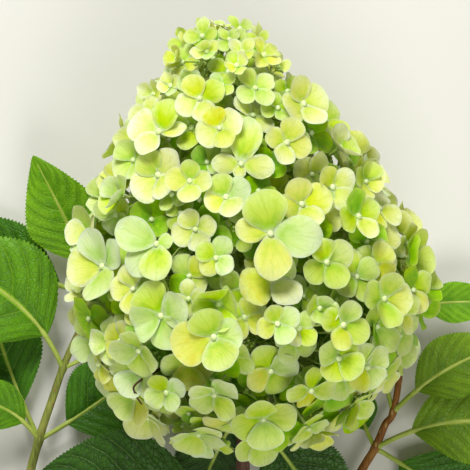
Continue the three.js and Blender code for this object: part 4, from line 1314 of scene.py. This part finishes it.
def bead_template(rings, sides):
    """A closed flower bud: a low ball of four pressed lobes."""
    verts, quads, tris = [(0, 0, 1.0)], [], []
    for i in range(1, rings):
        polar = math.pi * i / rings
        for k in range(sides):
            a = 2 * math.pi * k / sides
            lobe = 1 + 0.09 * abs(math.cos(2 * a)) ** 2
            out = math.sin(polar)
            verts.append((out * math.cos(a) * lobe, out * math.sin(a) * lobe, math.cos(polar)))
    verts.append((0, 0, -1.0))
    for k in range(sides):
        j = (k + 1) % sides
        tris.append((0, 1 + k, 1 + j))
        for i in range(rings - 2):
            a = 1 + i * sides
            quads.append((a + k, a + sides + k, a + sides + j, a + j))
        a = 1 + (rings - 2) * sides
        tris.append((a + k, len(verts) - 1, a + j))
    return np.array(verts), np.array(quads), np.array(tris)


def beads(template, middles, ups, sides, radii, squash):
    """Many buds at once, each with its own way up, as a part."""
    bead, quads, tris = template
    radii = radii[:, None, None]
    others = np.cross(ups, sides)
    verts = middles[:, None] + radii * (bead[:, :1] * sides[:, None] + bead[:, 1:2] * others[:, None]
                                        + squash * bead[:, 2:] * ups[:, None])
    count, per = verts.shape[:2]
    step = (np.arange(count) * per)[:, None, None]
    return verts.reshape(-1, 3), [(quads + step).reshape(-1, 4), (tris + step).reshape(-1, 3)], None, 0


def tissue_material(name, colour, second, patch, roughness, glow=0.2):
    """Skin of a bud or stalk, as it grew: waxy and faintly see-through, or dry and dull where it has died.

    It gives the eye two near tints in soft patches of `patch` mm, with a grain a sixth of that in its shine.
    """
    material, add, shader = new_material(name)
    where = add("TexCoord").node.outputs["Object"]
    scale = pattern_scale(patch * MM, -1)
    cloudy = add("TexNoise", None, where, scale, 3.0)
    fine = add("TexNoise", None, where, scale * 6, 2.0)
    colour = add("Mix", COLOURS, add("MapRange", SMOOTH, cloudy, 0.35, 0.65), linear(colour), linear(second))
    set_inputs(shader, Base_Color=colour, Roughness=add("Math", MULTIPLY_ADD, fine, 0.25, roughness - 0.12),
               Normal=add("Bump", None, Height=fine, Strength=0.15, Distance=0.0003),
               Specular_IOR_Level=0.35, Subsurface_Weight=glow, Subsurface_Scale=0.001,
               Subsurface_Radius=(0.9, 1.0, 0.3))
    return material


# The round bud in the middle of each floret
n = florets.n
middle, normal, u, _, reach, _ = florets.face(slice(n))
bead_radius = 0.86 + 0.024 * reach + 0.15 * np.array([chance(i, 61) for i in range(n)])
bead_radius = np.minimum(bead_radius, 1.4)
lifted = middle + normal * (0.55 + 0.45 * bead_radius[:, None])
piece = join("floret_beads", [beads(bead_template(5, 12), lifted, normal, u, bead_radius, 0.8)],
             tissue_material("flower_bud_cream", "#e9f3c4", "#d2e698", 1.43, 0.42))
dress(piece, "sepal")

# Small closed fertile flowers, in loose heads between the florets
HEADS_TRIED = 900
MOST_HEADS = 80
HEAD_ROOM = 2.6
HEAD_CHANCES = 7000
head_buds, head_stalks = [], []
heads = 0
for i in range(HEADS_TRIED):
    if heads >= MOST_HEADS:
        break
    height = height_at_share(chance(i, 70)) if i % 6 else 168 + 22 * chance(i, 71)
    bearing = 360 * chance(i, 72)
    middle = bloom_point(height, bearing, 0.74 + 0.22 * chance(i, 73))
    out = bloom_normal(height, bearing)
    side = unit(np.cross(out, AXIS))
    other = np.cross(out, side)
    room = [out * 2.2, out * -1.5, side * HEAD_ROOM, side * -HEAD_ROOM, other * HEAD_ROOM, other * -HEAD_ROOM]
    if crosses(over(*florets.face_rows(slice(n)), (middle + np.array(room))[None], 0.8), 0.5).any():
        continue
    heads += 1
    _, _, root = root_of(middle, HEAD_CHANCES + i)
    foot = middle - out * 2.0
    reach = np.linalg.norm(foot - root)
    line = bezier(root, root + unit(foot - root) * reach * 0.4, foot - out * reach * 0.3, foot, 7)
    head_stalks.append(tube(line, np.linspace(0.5, 0.32, 7), 4))
    count = 6 + int(4 * chance(i, 74))
    for k in range(count):
        turn = k * math.radians(GOLDEN_TURN)
        spread = 0.5 + 2.1 * math.sqrt((k + 0.3) / count)
        at = middle + (side * math.cos(turn) + other * math.sin(turn)) * spread
        at = at + out * (1.2 - 0.25 * spread**1.5 + 0.5 * chance(i * 16 + k, 76))
        head_buds.append((at, unit(at - foot), 0.5 + 0.38 * chance(i * 16 + k, 75)))
        line = bezier(foot, foot + out * 0.6, lerp(foot, at, 0.6), at, 4)
        head_stalks.append(tube(line, (0.26, 0.22, 0.2, 0.24), 4))

# Stalks: those of the heads, the side branches, and a curved stalk to each floret
parts = head_stalks
for _, points in branches[:-1]:
    line = np.array([through_places(points, at) for at in np.linspace(0, BRANCH_STEPS, 17)])
    toward = axis_point((points[0] - BLOOM_FOOT) @ AXIS + FOOT_HEIGHT)
    line = np.concatenate([[lerp(points[0], toward, 0.75)], line])
    parts.append(tube(line, lerp(BRANCH_RADIUS, BRANCH_TIP_RADIUS, np.linspace(0, 1, 18)), 8))
parts.append(tube(TIP_LINE - AXIS * 0.4, (0.8, 0.8, 0.75, 0.7, 0.6), 8))
STALK_RADII = (0.62, 0.5, 0.45, 0.43, 0.43, 0.46, 0.6, 1.0)
stalk_lines = []
for i, fact in enumerate(florets.facts):
    root, neck, normal = florets.root[i], florets.neck[i], florets.normal[i]
    _, points = fact["branch"]
    k = min(int(fact["place"]), BRANCH_STEPS - 1)
    along_branch = unit(points[k + 1] - points[k])
    if fact.get("fork"):
        beside, step = fact["fork"]
        other = stalk_lines[beside]
        root = through_places(other, step / 10 * (len(other) - 1))
        along_branch = unit(other[-1] - other[0])
    reach = np.linalg.norm(neck - root)
    leave = unit(unit(neck - root) + along_branch * 0.45)
    bends = (root + leave * reach * 0.35, neck - normal * reach * 0.3)
    line = bezier(root - leave * 0.4, *bends, neck + normal * 0.5, len(STALK_RADII))
    stalk_lines.append(line)
    parts.append(tube(line, STALK_RADII, 6 if fact["share"] > 0.9 else 5))
piece = join("flower_stalks", parts, tissue_material("flower_stalk_green", "#a9c257", "#c4d47c", 3.85, 0.5))
dress(piece, "flower_stalk", *[name for name, _ in branches])

# One dried stalk, dark brown, that has kept no flower
DRIED_STALK = ((52, -36, 0.8), (48, -40, 1.02), (43, -41.5, 1.05), (37, -41, 1.055))
places = [bloom_point(*place) for place in DRIED_STALK]
line = np.array([through_places(places, q) for q in np.linspace(0, 3, 20)])
twig_end = line[12] + RIGHT * 4 - AXIS * 2 + FRONT * 1.5
twig = np.array([lerp(line[12], twig_end, q) for q in np.linspace(0, 1, 6)])
dried = [tube(line, np.linspace(0.6, 0.3, 20), 7), tube(twig, np.linspace(0.35, 0.2, 6), 6)]
piece = join("dried_stalk", dried, tissue_material("dried_stalk_brown", "#3a2410", "#5c3a1c", 2, 0.7, 0.0))
dress(piece, "flower_stalk")

middles, ups, radii = (np.array(q) for q in zip(*head_buds))
buds = beads(bead_template(4, 8), middles, ups, unit(np.cross(ups, AXIS + 0.01)), radii, 0.95)
piece = join("fertile_buds", [buds], tissue_material("fertile_bud_green", "#a4c44c", "#c8da84", 2, 0.45))
dress(piece, "flower_stalk")

# The axis that runs on through the bloom
heights = np.linspace(FOOT_HEIGHT - 1.5, FOOT_HEIGHT + RACHIS_LENGTH + 1, 120)
radii = np.array([rachis_radius(h) for h in heights])
radii = swollen(radii, heights, [(place, 0.16) for place in TIER_NODES], 2.2)
axis_tube = tube([axis_point(h) for h in heights], radii, 14)
piece = join("bloom_axis", [axis_tube], tissue_material("bloom_axis_green", "#8fa848", "#b0b866", 6.25, 0.55))
dress(piece, "flower_stalk", "panicle_axis")


# Stems

def bark_material(name, dark, middle_tone, light, spot, streak):
    """Bark of a young woody shoot, as it grew: thin, dull and split lengthwise.

    It gives the eye lengthwise streaks `streak` mm wide, clouds of a second tone about 17 mm across, and
    small raised corky spots about 3 mm apart.
    """
    material, add, shader = new_material(name)
    where = add("TexCoord").node.outputs["Object"]
    stretched = add("Mapping", None, where, Scale=(1, 0.12, 1))
    streaks = add("TexNoise", None, stretched, pattern_scale(streak * MM, -1), 5.0)
    clouds = add("TexNoise", None, where, pattern_scale(16.7 * MM, -1), 2.0)
    squeezed = add("Mapping", None, where, Scale=(1, 0.45, 1))
    cells = add("TexVoronoi", None, squeezed, pattern_scale(3.03 * MM, -1))
    corky = add("MapRange", SMOOTH, cells, 0.16, 0.26, 1.0, 0.0)
    split = add("MapRange", SMOOTH, streaks, 0.36, 0.64)
    colour = add("Mix", COLOURS, split, linear(dark), linear(middle_tone))
    colour = add("Mix", COLOURS, add("MapRange", SMOOTH, clouds, 0.45, 0.75, 0.0, 0.6), colour, linear(light))
    colour = add("Mix", COLOURS, add("Math", MULTIPLY, corky, 0.7), colour, linear(spot))
    relief = add("Math", ADD, streaks, add("Math", MULTIPLY, corky, 0.6))
    set_inputs(shader, Base_Color=colour, Roughness=add("Math", MULTIPLY_ADD, streaks, 0.25, 0.5),
               Normal=add("Bump", None, Height=relief, Strength=0.5, Distance=0.0004),
               Specular_IOR_Level=0.35)
    return material


def cut_wood_material():
    """Fresh wood, cut across with a blade: pale, damp and even, round a soft pith 3 mm wide, in a green rind.

    Its pores are too fine to show, so its grain is drawn two thirds of a millimetre wide.
    """
    material, add, shader = new_material("cut_wood")
    where = add("TexCoord").node.outputs["Object"]
    centre = tuple((LIMBS["stem"].point(-STEM_LENGTH) + SHIFT) * MM)
    away = add("Math", MULTIPLY, add("VectorMath", {"operation": "DISTANCE"}, where, centre), 1 / MM)
    grain = add("TexNoise", None, where, pattern_scale(0.667 * MM, -1), 3.0)
    wood = add("Mix", COLOURS, grain, linear("#d9c894"), linear("#c2ae78"))
    wood = add("Mix", COLOURS, add("MapRange", SMOOTH, away, 1.3, 1.9), linear("#efe6c8"), wood)
    wood = add("Mix", COLOURS, add("MapRange", SMOOTH, away, 4.0, 4.5), wood, linear("#7e8a44"))
    set_inputs(shader, Base_Color=wood, Roughness=0.6,
               Normal=add("Bump", None, Height=grain, Strength=0.3, Distance=0.0003))
    return material


def woody_tube(points, radii, sides, relief, seed):
    """A limb with shallow lengthwise ridges."""
    rng = np.random.default_rng(seed)
    a = ring_angles(sides)
    run = np.arange(len(points))[:, None]
    bumps = np.zeros((len(points), sides))
    for _ in range(6):
        turns, speed, phase = rng.integers(2, 9), rng.uniform(0.02, 0.2), rng.uniform(0, 6.28)
        bumps += np.sin(turns * a[None] + speed * run + phase)
    bumps *= relief / 6
    return tube(points, radii, sides, bumps)


STEM_SIDES = 40
stem = LIMBS["stem"]
marks = np.linspace(-STEM_LENGTH, 1.0, 240)
radii = swollen(np.array([stem.radius(m) for m in marks]), marks, STEM_NODES, 3.2)
verts, (sides, _, top_end), *_ = woody_tube([stem.point(m) for m in marks], radii, STEM_SIDES, 0.22, 5)
wood = (np.concatenate([verts[:STEM_SIDES], verts[-2:-1]]), [fan(STEM_SIDES, np.arange(STEM_SIDES))], None, 1)
bark = bark_material("stem_bark_brown", "#3e231a", "#5b3a2a", "#75523d", "#8d6a50", 1.11)
piece = join("stem_bark", [(verts, [sides, top_end], None, 0), wood], bark, cut_wood_material())
dress(piece, "bark", "main_stem")


def build_shoot(name, limb, nodes, colours, seed):
    """A side shoot from the main stem's lowest node to its tip, over its two solids."""
    at = np.linspace(0, limb.end, limb.end * 24 + 1)
    points = np.array([limb.point(q) for q in at])
    points[0] = stem.point(STEM_NODES[-1][0])
    radii = 0.9 * np.array([limb.radius(q) for q in at])
    radii = swollen(radii, at, [(place, 0.2) for place in nodes], 0.13)
    radii[-3:] *= (0.97, 0.85, 0.5)
    shoot = woody_tube(points, radii, 20, 0.09, seed)
    made = join(name, [shoot], bark_material(name + "_bark", *colours, 0.91))
    dress(made, "young_bark", name + "_lower", name + "_upper")


build_shoot("left_shoot", LIMBS["left"], LEFT_NODES, ("#5f6424", "#7f8a35", "#a0a24c", "#8a6a3a"), 11)
build_shoot("right_shoot", LIMBS["right"], RIGHT_NODES, ("#6e4214", "#8e5a20", "#a87a34", "#b8965a"), 12)


# Leaves

LEAF_CELLS = {"old_and_shaded": (96, 32), "bright": (84, 28)}  # rows and columns
OTHER_LEAF_CELLS = (72, 24)
SIDE_VEINS = 8.2
VEIN_SWEEP = 0.31
LEAF_SKIN = 0.22
TOOTH = (1.035, 0.985)  # half width at the tip of a tooth and between two, as shares
QUILTING = 0.055 * 0.55
UV_WIDE = 0.92  # share of its place in the pattern that a leaf takes up, across and along
UV_LONG = 0.96


def leaf_part(leaf, tile, tiles):
    """A toothed blade, quilted between its side veins, as a closed thin shell."""
    name, _, _, _, half, _, _, roll, tint = leaf
    leaf_rows, leaf_columns = LEAF_CELLS.get(tint, OTHER_LEAF_CELLS)
    line = leaf_line(leaf)
    at = np.linspace(STALK_END, LEAF_STATIONS, leaf_rows + 1)
    spine = np.array([through_places(line, q) for q in at])
    t = (at - STALK_END) / (LEAF_STATIONS - STALK_END)
    tangent = unit(np.gradient(spine, axis=0))
    level = unit(np.cross(tangent, UP))
    r = math.radians(roll)
    side = unit(level * math.cos(r) - np.cross(level, tangent) * math.sin(r))
    over_way = np.cross(side, tangent)
    rng = np.random.default_rng(sum(ord(c) * (i + 1) for i, c in enumerate(name)))
    tooth = np.where(np.arange(leaf_rows + 1) % 2 == 0, *TOOTH)[:, None]
    width = half * blade_width(t) * (1 + 0.02 * np.sin(t * rng.uniform(6, 11) + rng.uniform(0, 6)))
    width = np.where(t > LEAF_WIDEST, np.maximum(width, LEAF_TIP_WIDTH * (1 - t) + 0.05), width)
    a = np.linspace(-1, 1, leaf_columns + 1)
    a = np.sign(a) * np.abs(a) ** 1.08
    edge, tt = np.abs(a)[None], t[:, None]
    x = a[None] * (width[:, None] * (1 + (tooth - 1) * edge**6))

    # Height: the fold along the midrib, the quilting, the groove of the midrib and the waves of the margin
    fold = FOLD * np.maximum(np.abs(x) - STALK_WIDTH, 0)
    q = (tt - VEIN_SWEEP * edge**1.3) * SIDE_VEINS
    ladder = 0.16 * np.sin(edge * half * 2.3 + 1.3 * np.sin(7 * tt) + np.sign(a)[None])
    bulge = np.abs(np.sin(math.pi * q)) ** 0.8 * (1 + ladder)
    quilt = QUILTING * half * bulge * np.clip(edge * 5, 0, 1) * np.clip((1 - edge) * 4, 0, 1)
    quilt = quilt * np.clip(tt * 8, 0, 1) * np.clip((1 - tt) * 4, 0, 1)
    groove = -0.35 * np.exp(-((x / 1.3) ** 2))
    wave = 0.045 * half * np.sin(tt * rng.uniform(9, 13) + np.sign(a)[None] * rng.uniform(0.5, 2.5)
                                 + rng.uniform(0, 6)) * edge**2.4
    h = fold + quilt + groove + wave
    forward = 0.08 * (tooth - 1) * edge**6 * half
    mid = (spine[:, None] + side[:, None] * x[..., None] + over_way[:, None] * h[..., None]
           + tangent[:, None] * forward[..., None])

    skin = LEAF_SKIN * (1 - edge**8) * np.ones_like(x)
    top = mid + over_way[:, None] * skin[..., None]
    under = mid - over_way[:, None] * skin[..., None]
    top[..., 2] = np.maximum(top[..., 2], FLOOR + 0.35)
    under[..., 2] = np.maximum(under[..., 2], FLOOR + 0.06)
    grid = np.arange(x.size).reshape(x.shape)
    low = grid.copy()
    inside = np.zeros(x.shape, bool)
    inside[1:-1, 1:-1] = True
    low[inside] = x.size + np.arange(inside.sum())

    def quads(g):
        return np.stack([g[:-1, :-1], g[:-1, 1:], g[1:, 1:], g[1:, :-1]], -1).reshape(-1, 4)

    corner = quads(grid)
    place_u, place_v = np.meshgrid(0.04 + UV_WIDE * (a + 1) / 2, 0.02 + UV_LONG * t, indexing="xy")
    place_u, place_v = (tile + place_u.ravel()[corner]) / tiles, place_v.ravel()[corner] / 2
    top_uv, under_uv = np.stack([place_u, place_v], -1), np.stack([place_u, 0.5 + place_v], -1)
    verts = np.concatenate([top.reshape(-1, 3), under[inside]])
    return verts, [corner, quads(low)[:, ::-1]], [top_uv, under_uv[:, ::-1]], 0


def leaf_material(name, tiles, body, deep, light, vein, under, net_depth):
    """A hydrangea leaf, as it grew: a tough blade, half glossy above and matt below.

    It gives the eye a pale midrib and side veins, sunken above and raised below, with a net of veinlets
    2.4 mm wide between them, and a painted highlight on the crowns of the quilting between the side veins.
    The finest net is under half a millimetre, so it is drawn 0.9 mm wide to show.
    """
    material, add, shader = new_material(name)
    scaled = add("VectorMath", MULTIPLY, add("UVMap", BAKED_UV), (tiles, 2, 0))
    number, is_under, _ = add("SeparateXYZ", None, add("VectorMath", FLOORED, scaled)).node.outputs
    place_u, place_v, _ = add("SeparateXYZ", None, add("VectorMath", FRACTION, scaled)).node.outputs
    across = add("Math", MULTIPLY_ADD, place_u, 2 / UV_WIDE, -1 / UV_WIDE)
    edge = add("Math", ABSOLUTE, across)
    t = add("Math", MULTIPLY_ADD, place_v, 1 / UV_LONG, -0.02 / UV_LONG)

    # Places on the blade in mm, as on a leaf 75 mm long and 40 mm wide
    mm_place = add("CombineXYZ", None, add("Math", MULTIPLY, across, 20.0), add("Math", MULTIPLY, t, 75.0),
                   add("Math", MULTIPLY, number, 31.0))
    clouds = add("TexNoise", None, mm_place, pattern_scale(14.3, 2), 3.0)
    fine = add("TexNoise", None, mm_place, pattern_scale(0.625, 2), 3.0)
    net = add("TexVoronoi", TO_EDGE, mm_place, pattern_scale(2.38, 2))
    net = add("Math", MULTIPLY, add("MapRange", SMOOTH, net, 0.0, 0.11, 1.0, 0.0), net_depth)
    tiny = add("TexVoronoi", TO_EDGE, mm_place, pattern_scale(0.91, 2))
    tiny = add("MapRange", SMOOTH, tiny, 0.0, 0.12, 1.0, 0.0)

    # Side veins, where the blade's quilting has its valleys, and the midrib
    wander = add("Math", MULTIPLY_ADD, clouds, 0.05, -0.025)
    swept = add("Math", MULTIPLY, add("Math", {"operation": "POWER"}, edge, 1.3), VEIN_SWEEP)
    q = add("Math", ADD, add("Math", {"operation": "SUBTRACT"}, t, swept), wander)
    q = add("Math", MULTIPLY, q, SIDE_VEINS)
    side = add("Math", ABSOLUTE, add("Math", SINE, add("Math", MULTIPLY, q, math.pi)))
    side_vein = add("MapRange", SMOOTH, side, 0.02, 0.2, 1.0, 0.0)
    side_vein = add("Math", MULTIPLY, side_vein, add("MapRange", SMOOTH, edge, 0.8, 1.0, 1.0, 0.3))
    rib = add("Math", {"operation": "DIVIDE"}, edge, add("Math", MULTIPLY_ADD, t, -0.04, 0.075))
    rib = add("MapRange", SMOOTH, rib, 0.5, 1.2, 1.0, 0.0)

    colour = add("Mix", COLOURS, add("MapRange", SMOOTH, clouds, 0.3, 0.7), linear(deep), linear(body))
    # Painted highlight: the crowns of the quilting between the side veins are mixed toward the light tone
    crown_highlight = add("MapRange", SMOOTH, side, 0.3, 1.0)
    crown_highlight = add("Math", MULTIPLY, crown_highlight, add("MapRange", SMOOTH, edge, 0.1, 0.5))
    for share, pattern, tone in ((0.45, crown_highlight, light), (0.28, net, deep), (0.12, tiny, vein),
                                 (0.42, side_vein, vein), (0.85, rib, vein)):
        colour = add("Mix", COLOURS, add("Math", MULTIPLY, pattern, share), colour, linear(tone))
    pale = add("Mix", COLOURS, add("Math", MAXIMUM, rib, side_vein), linear(under), linear(vein))
    pale = add("Mix", COLOURS, add("Math", MULTIPLY, net, 0.3), pale, linear(vein))
    colour = add("Mix", COLOURS, is_under, colour, pale)
    rough = add("Math", MULTIPLY_ADD, is_under, 0.25, add("Math", MULTIPLY_ADD, fine, 0.22, 0.36))
    relief = add("Math", ADD, add("Math", MULTIPLY, net, -0.8), add("Math", MULTIPLY, side_vein, -1.2))
    relief = add("Math", ADD, relief, add("Math", MULTIPLY, fine, 0.5))
    relief = add("Math", MULTIPLY, relief, add("Math", MULTIPLY_ADD, is_under, -2.0, 1.0))
    set_inputs(shader, Base_Color=colour, Roughness=rough,
               Normal=add("Bump", None, Height=relief, Strength=0.55, Distance=0.0005),
               Specular_IOR_Level=0.28, Subsurface_Weight=0.12, Subsurface_Scale=0.001,
               Subsurface_Radius=(0.5, 1.0, 0.2))
    return material


LEAF_LOOKS = {
    # body, deep, light (the painted highlight on the quilting's crowns), vein, under, depth of the net
    "bright": ("#548a02", "#3e6e02", "#6ca408", "#8cb424", "#92b44c", 1.0),
    # old_and_shaded: the main stem's four leaves, an old leaf's dark green darkened further as painted shade
    "old_and_shaded": ("#2a520e", "#163804", "#42701e", "#6a8c34", "#7a984c", 1.9),
    "full": ("#356c02", "#245202", "#4c8404", "#74a01c", "#86a848", 1.0),
    "young": ("#6ea402", "#528a02", "#8cbe18", "#98c030", "#a0c050", 0.8),
    "olive": ("#648a06", "#4c7202", "#80a418", "#a6b438", "#94ac48", 1.0),
}
for tint, look in LEAF_LOOKS.items():
    mine = [leaf for leaf in LEAVES if leaf[-1] == tint]
    parts = [leaf_part(leaf, i, len(mine)) for i, leaf in enumerate(mine)]
    piece = join(f"leaves_{tint}", parts, leaf_material(f"leaf_{tint}", len(mine), *look))
    dress(piece, "leaf", *[leaf[0] for leaf in mine])


def leaf_stalk(leaf):
    """A leaf's stalk and the midrib that it runs on into, sunk into the blade's under side, as a part."""
    _, limb_name, place, length, *_ = leaf
    line = leaf_line(leaf)
    at = np.linspace(0, LEAF_STATIONS * 0.93, 60)
    points = np.array([through_places(line, q) for q in at])
    t = (at - STALK_END) / (LEAF_STATIONS - STALK_END)
    tangent = unit(np.gradient(points, axis=0))
    over_way = np.cross(unit(np.cross(tangent, UP)), tangent)
    radii = (0.75 + 0.25 * length / 88) * np.where(t < 0, 1.25, 1.2 * (1 - t) ** 0.9 + 0.12)
    points = points - over_way * (np.clip(t * 12, 0, 1) * (radii * 0.55 + 0.1))[:, None]
    points[:, 2] = np.maximum(points[:, 2], FLOOR + radii + 0.05)
    points = np.concatenate([[LIMBS[limb_name].point(place)], points])
    return tube(points, np.concatenate([[radii[0] * 1.15], radii]), 10)


stalk_green = tissue_material("leaf_stalk_green", "#94a83c", "#aebc58", 8.33, 0.5)
piece = join("leaf_stalks", [leaf_stalk(leaf) for leaf in LEAVES], stalk_green)
dress(piece, "leaf", *[leaf[0] for leaf in LEAVES])


# Camera, light and floor

PHOTO_HEIGHT = 975.0  # the camera above the surface, in mm
PHOTO_CENTRE = (-3.6, 69.75)
PHOTO_FIELD = math.radians(13.40)
SENSOR = 36
FLOOR_HALF = 3.0  # metres, as the lights' places
LIGHTS = (  # name, place, aim, size, watts, colour
    ("key_light", (-0.22, 0.98, 0.95), (0, 0.05, 0.05), 0.5, 17.1, (1.0, 1.0, 1.0)),
    ("fill_light", (0.25, -0.7, 1.2), (0, -0.05, 0.05), 0.7, 8.4, (1.0, 1.0, 0.95)),
)


def build_camera():
    data = bpy.data.cameras.new("photo_camera")
    data.sensor_width = SENSOR
    data.lens = SENSOR / 2 / math.tan(PHOTO_FIELD / 2)
    data.clip_start, data.clip_end = 0.05, 20
    camera = bpy.data.objects.new("photo_camera", data)
    camera.location = (np.array([*PHOTO_CENTRE, PHOTO_HEIGHT]) + SHIFT) * MM
    bpy.context.scene.collection.objects.link(camera)
    bpy.context.scene.camera = camera


def build_floor():
    """A pale matt board under the branch."""
    mesh = bpy.data.meshes.new("floor")
    corners = [(FLOOR_HALF * x, FLOOR_HALF * y, 0) for x, y in ((-1, -1), (1, -1), (1, 1), (-1, 1))]
    mesh.from_pydata(corners, [], [(0, 1, 2, 3)])
    floor = bpy.data.objects.new("floor", mesh)
    bpy.context.scene.collection.objects.link(floor)
    material, _, shader = new_material("pale_floor")
    set_inputs(shader, Base_Color=linear("#dedcd6"), Roughness=0.9, Specular_IOR_Level=0.1)
    mesh.materials.append(material)


def build_lights():
    for name, place, aim, size, watts, colour in LIGHTS:
        lamp = bpy.data.lights.new(name, "AREA")
        lamp.size, lamp.energy, lamp.color = size, watts, colour
        light = bpy.data.objects.new(name, lamp)
        light.location = place
        light.rotation_euler = Vector(np.array(aim) - np.array(place)).to_track_quat("-Z", "Y").to_euler()
        bpy.context.scene.collection.objects.link(light)
    world = bpy.data.worlds.new("soft_light")
    world.use_nodes = True
    set_inputs(world.node_tree.nodes["Background"], Color=linear("#f8f9ea"), Strength=0.24)
    bpy.context.scene.world = world
    bpy.context.scene.view_settings.view_transform = "Standard"


build_camera()
build_floor()
build_lights()
